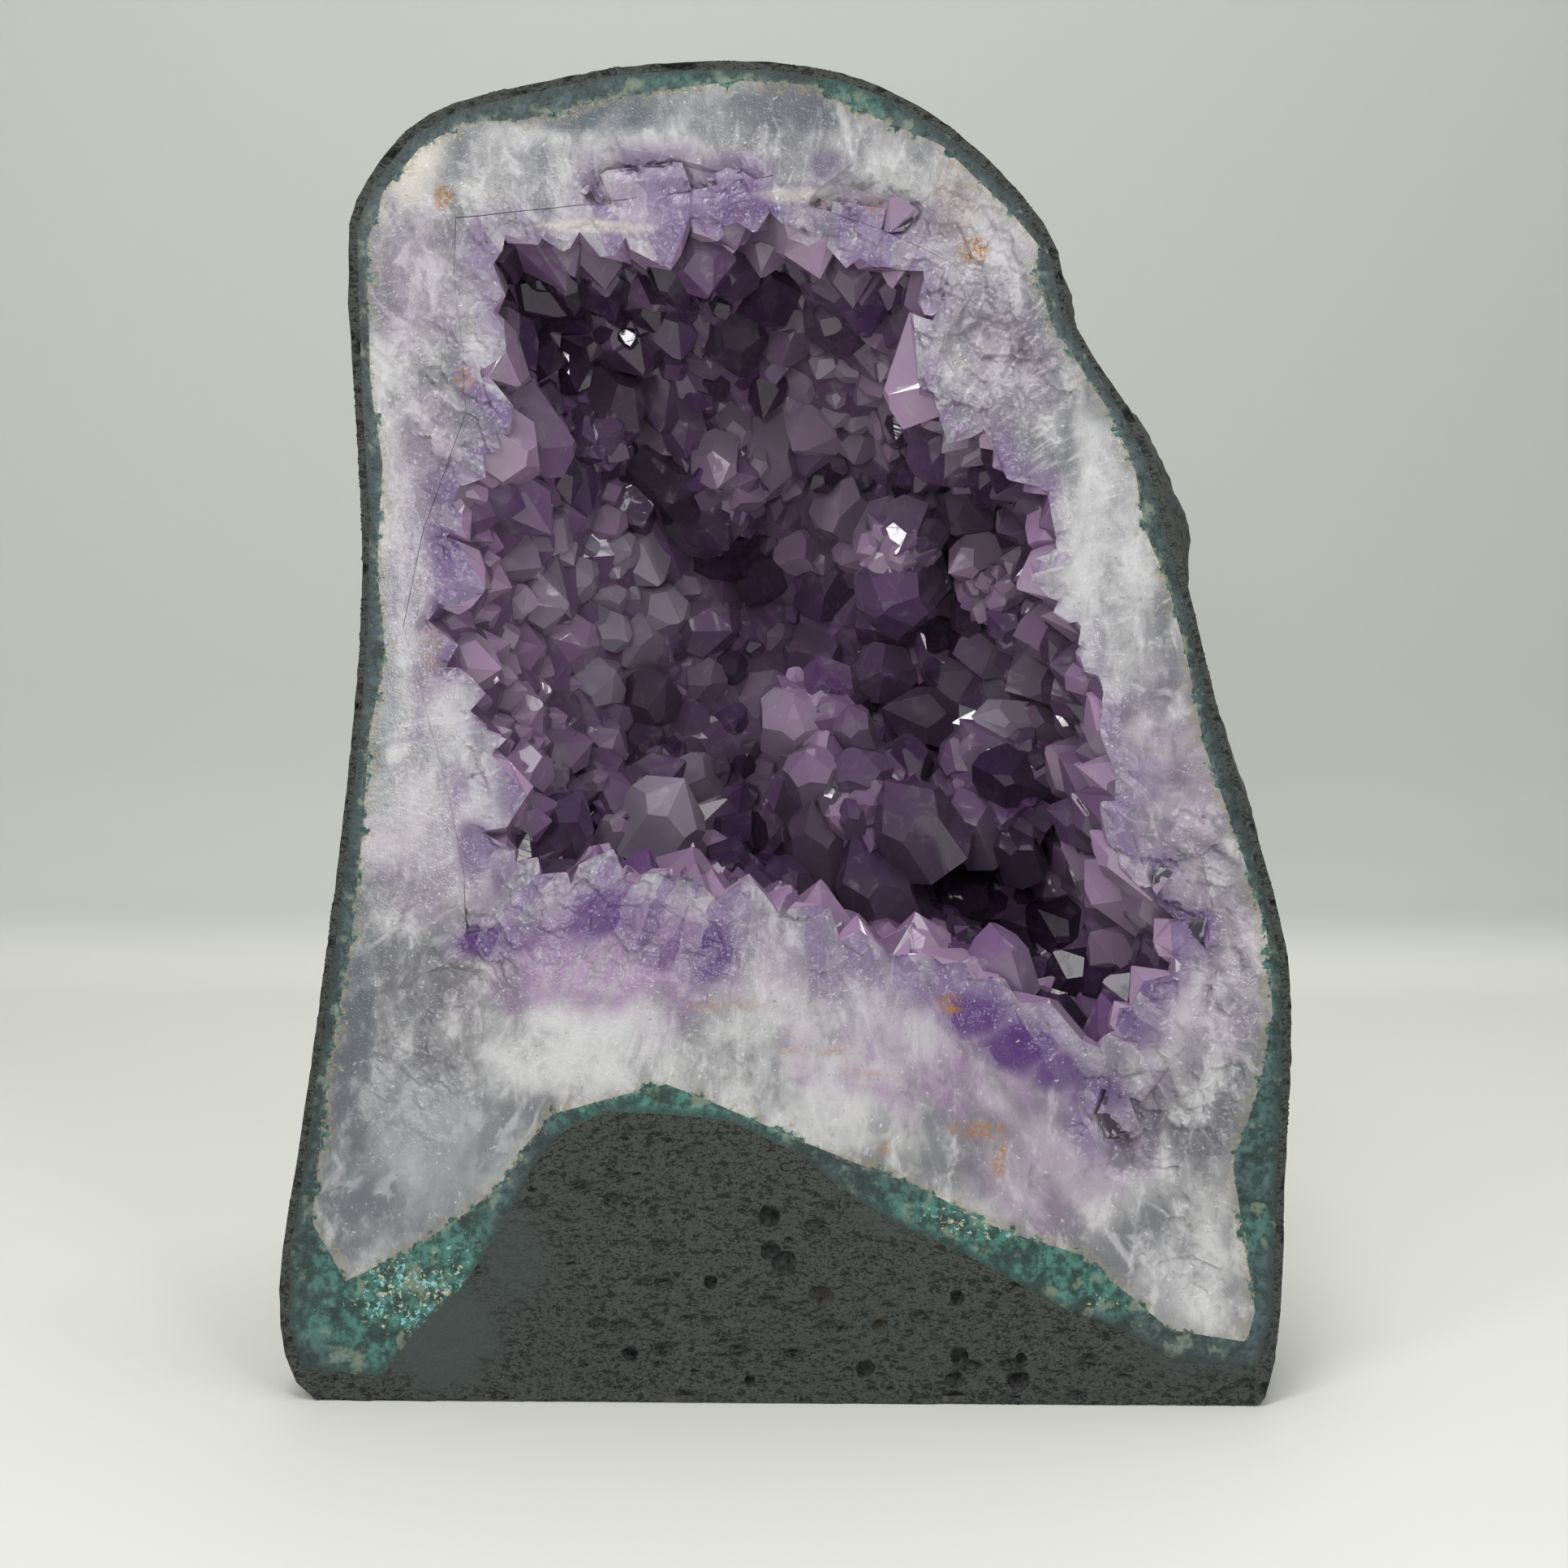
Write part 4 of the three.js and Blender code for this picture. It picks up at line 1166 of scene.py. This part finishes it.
def sweep_material():
    """Pale on the floor and grey up the backdrop, with painted shade that darkens it to the right"""
    material, n, shader, place = new_material("pale_floor")
    parts = n.add("ShaderNodeSeparateXYZ", {"Vector": place}).outputs
    # Painted shade: the backdrop darkens from left to right.
    side = n.span(parts["X"], -500.0, 700.0)
    wall = n.mix(side, BACKDROP_LEFT, BACKDROP_RIGHT_SHADED)
    tone = n.mix(n.span(parts["Z"], 0.5, 26.0), FLOOR, wall)
    n.put(shader.inputs["Base Color"], tone)
    shader.inputs["Roughness"].default_value = 0.6
    return material


def bent_up(reach):
    """Where a point of the flat sweep lies once its back is bent up: depth and height"""
    past = reach - SWEEP_BEND
    quarter = SWEEP_RADIUS * math.pi / 2
    if past <= 0:
        return reach, 0.0
    if past < quarter:
        angle = past / SWEEP_RADIUS
        return SWEEP_BEND + SWEEP_RADIUS * math.sin(angle), SWEEP_RADIUS * (1 - math.cos(angle))
    return SWEEP_BEND + SWEEP_RADIUS, SWEEP_RADIUS + past - quarter


def studio_sweep():
    """A pale floor that curves up into a grey backdrop"""
    bm = bmesh.new()
    bmesh.ops.create_grid(bm, x_segments=2, y_segments=SWEEP_ROWS, size=1.0)
    for vertex in bm.verts:
        reach = (vertex.co.y + 1.0) * SWEEP_LENGTH / 2 + SWEEP_START
        vertex.co.x *= SWEEP_WIDTH / 2
        vertex.co.y, vertex.co.z = bent_up(reach)
    for face in bm.faces:
        face.smooth = True
    sweep = mesh_object("studio_sweep", bm)
    bm.free()
    sweep.data.materials.append(sweep_material())


def aimed(name, data, place, target):
    """A light or a camera at a place that looks at a target"""
    holder = placed(name, data)
    holder.location = place
    holder.rotation_mode = "QUATERNION"
    holder.rotation_quaternion = (Vector(target) - Vector(place)).to_track_quat("-Z", "Y")
    return holder


def area_light(name, place, target, size, power):
    light = bpy.data.lights.new(name, "AREA")
    light.shape = "RECTANGLE"
    light.size, light.size_y = size
    light.energy = power
    aimed(name, light, place, target)


studio_sweep()
world = bpy.data.worlds.new("soft_room")
bpy.context.scene.world = world
world.use_nodes = True
background = world.node_tree.nodes["Background"].inputs
background["Color"].default_value = ROOM_COLOUR
background["Strength"].default_value = ROOM_STRENGTH
for light in LIGHTS:
    area_light(*light)
for number, place in enumerate(PANEL_PLACES):
    area_light(f"panel_{number}", place, PANEL_TARGET, PANEL_SIZE, PANEL_POWER)

bpy.context.scene.view_settings.view_transform = "Standard"
camera = bpy.data.cameras.new("photo_camera")
camera.lens = CAMERA_LENS
camera.sensor_width = CAMERA_SENSOR
bpy.context.scene.camera = aimed("photo_camera", camera, CAMERA_PLACE, CAMERA_TARGET)
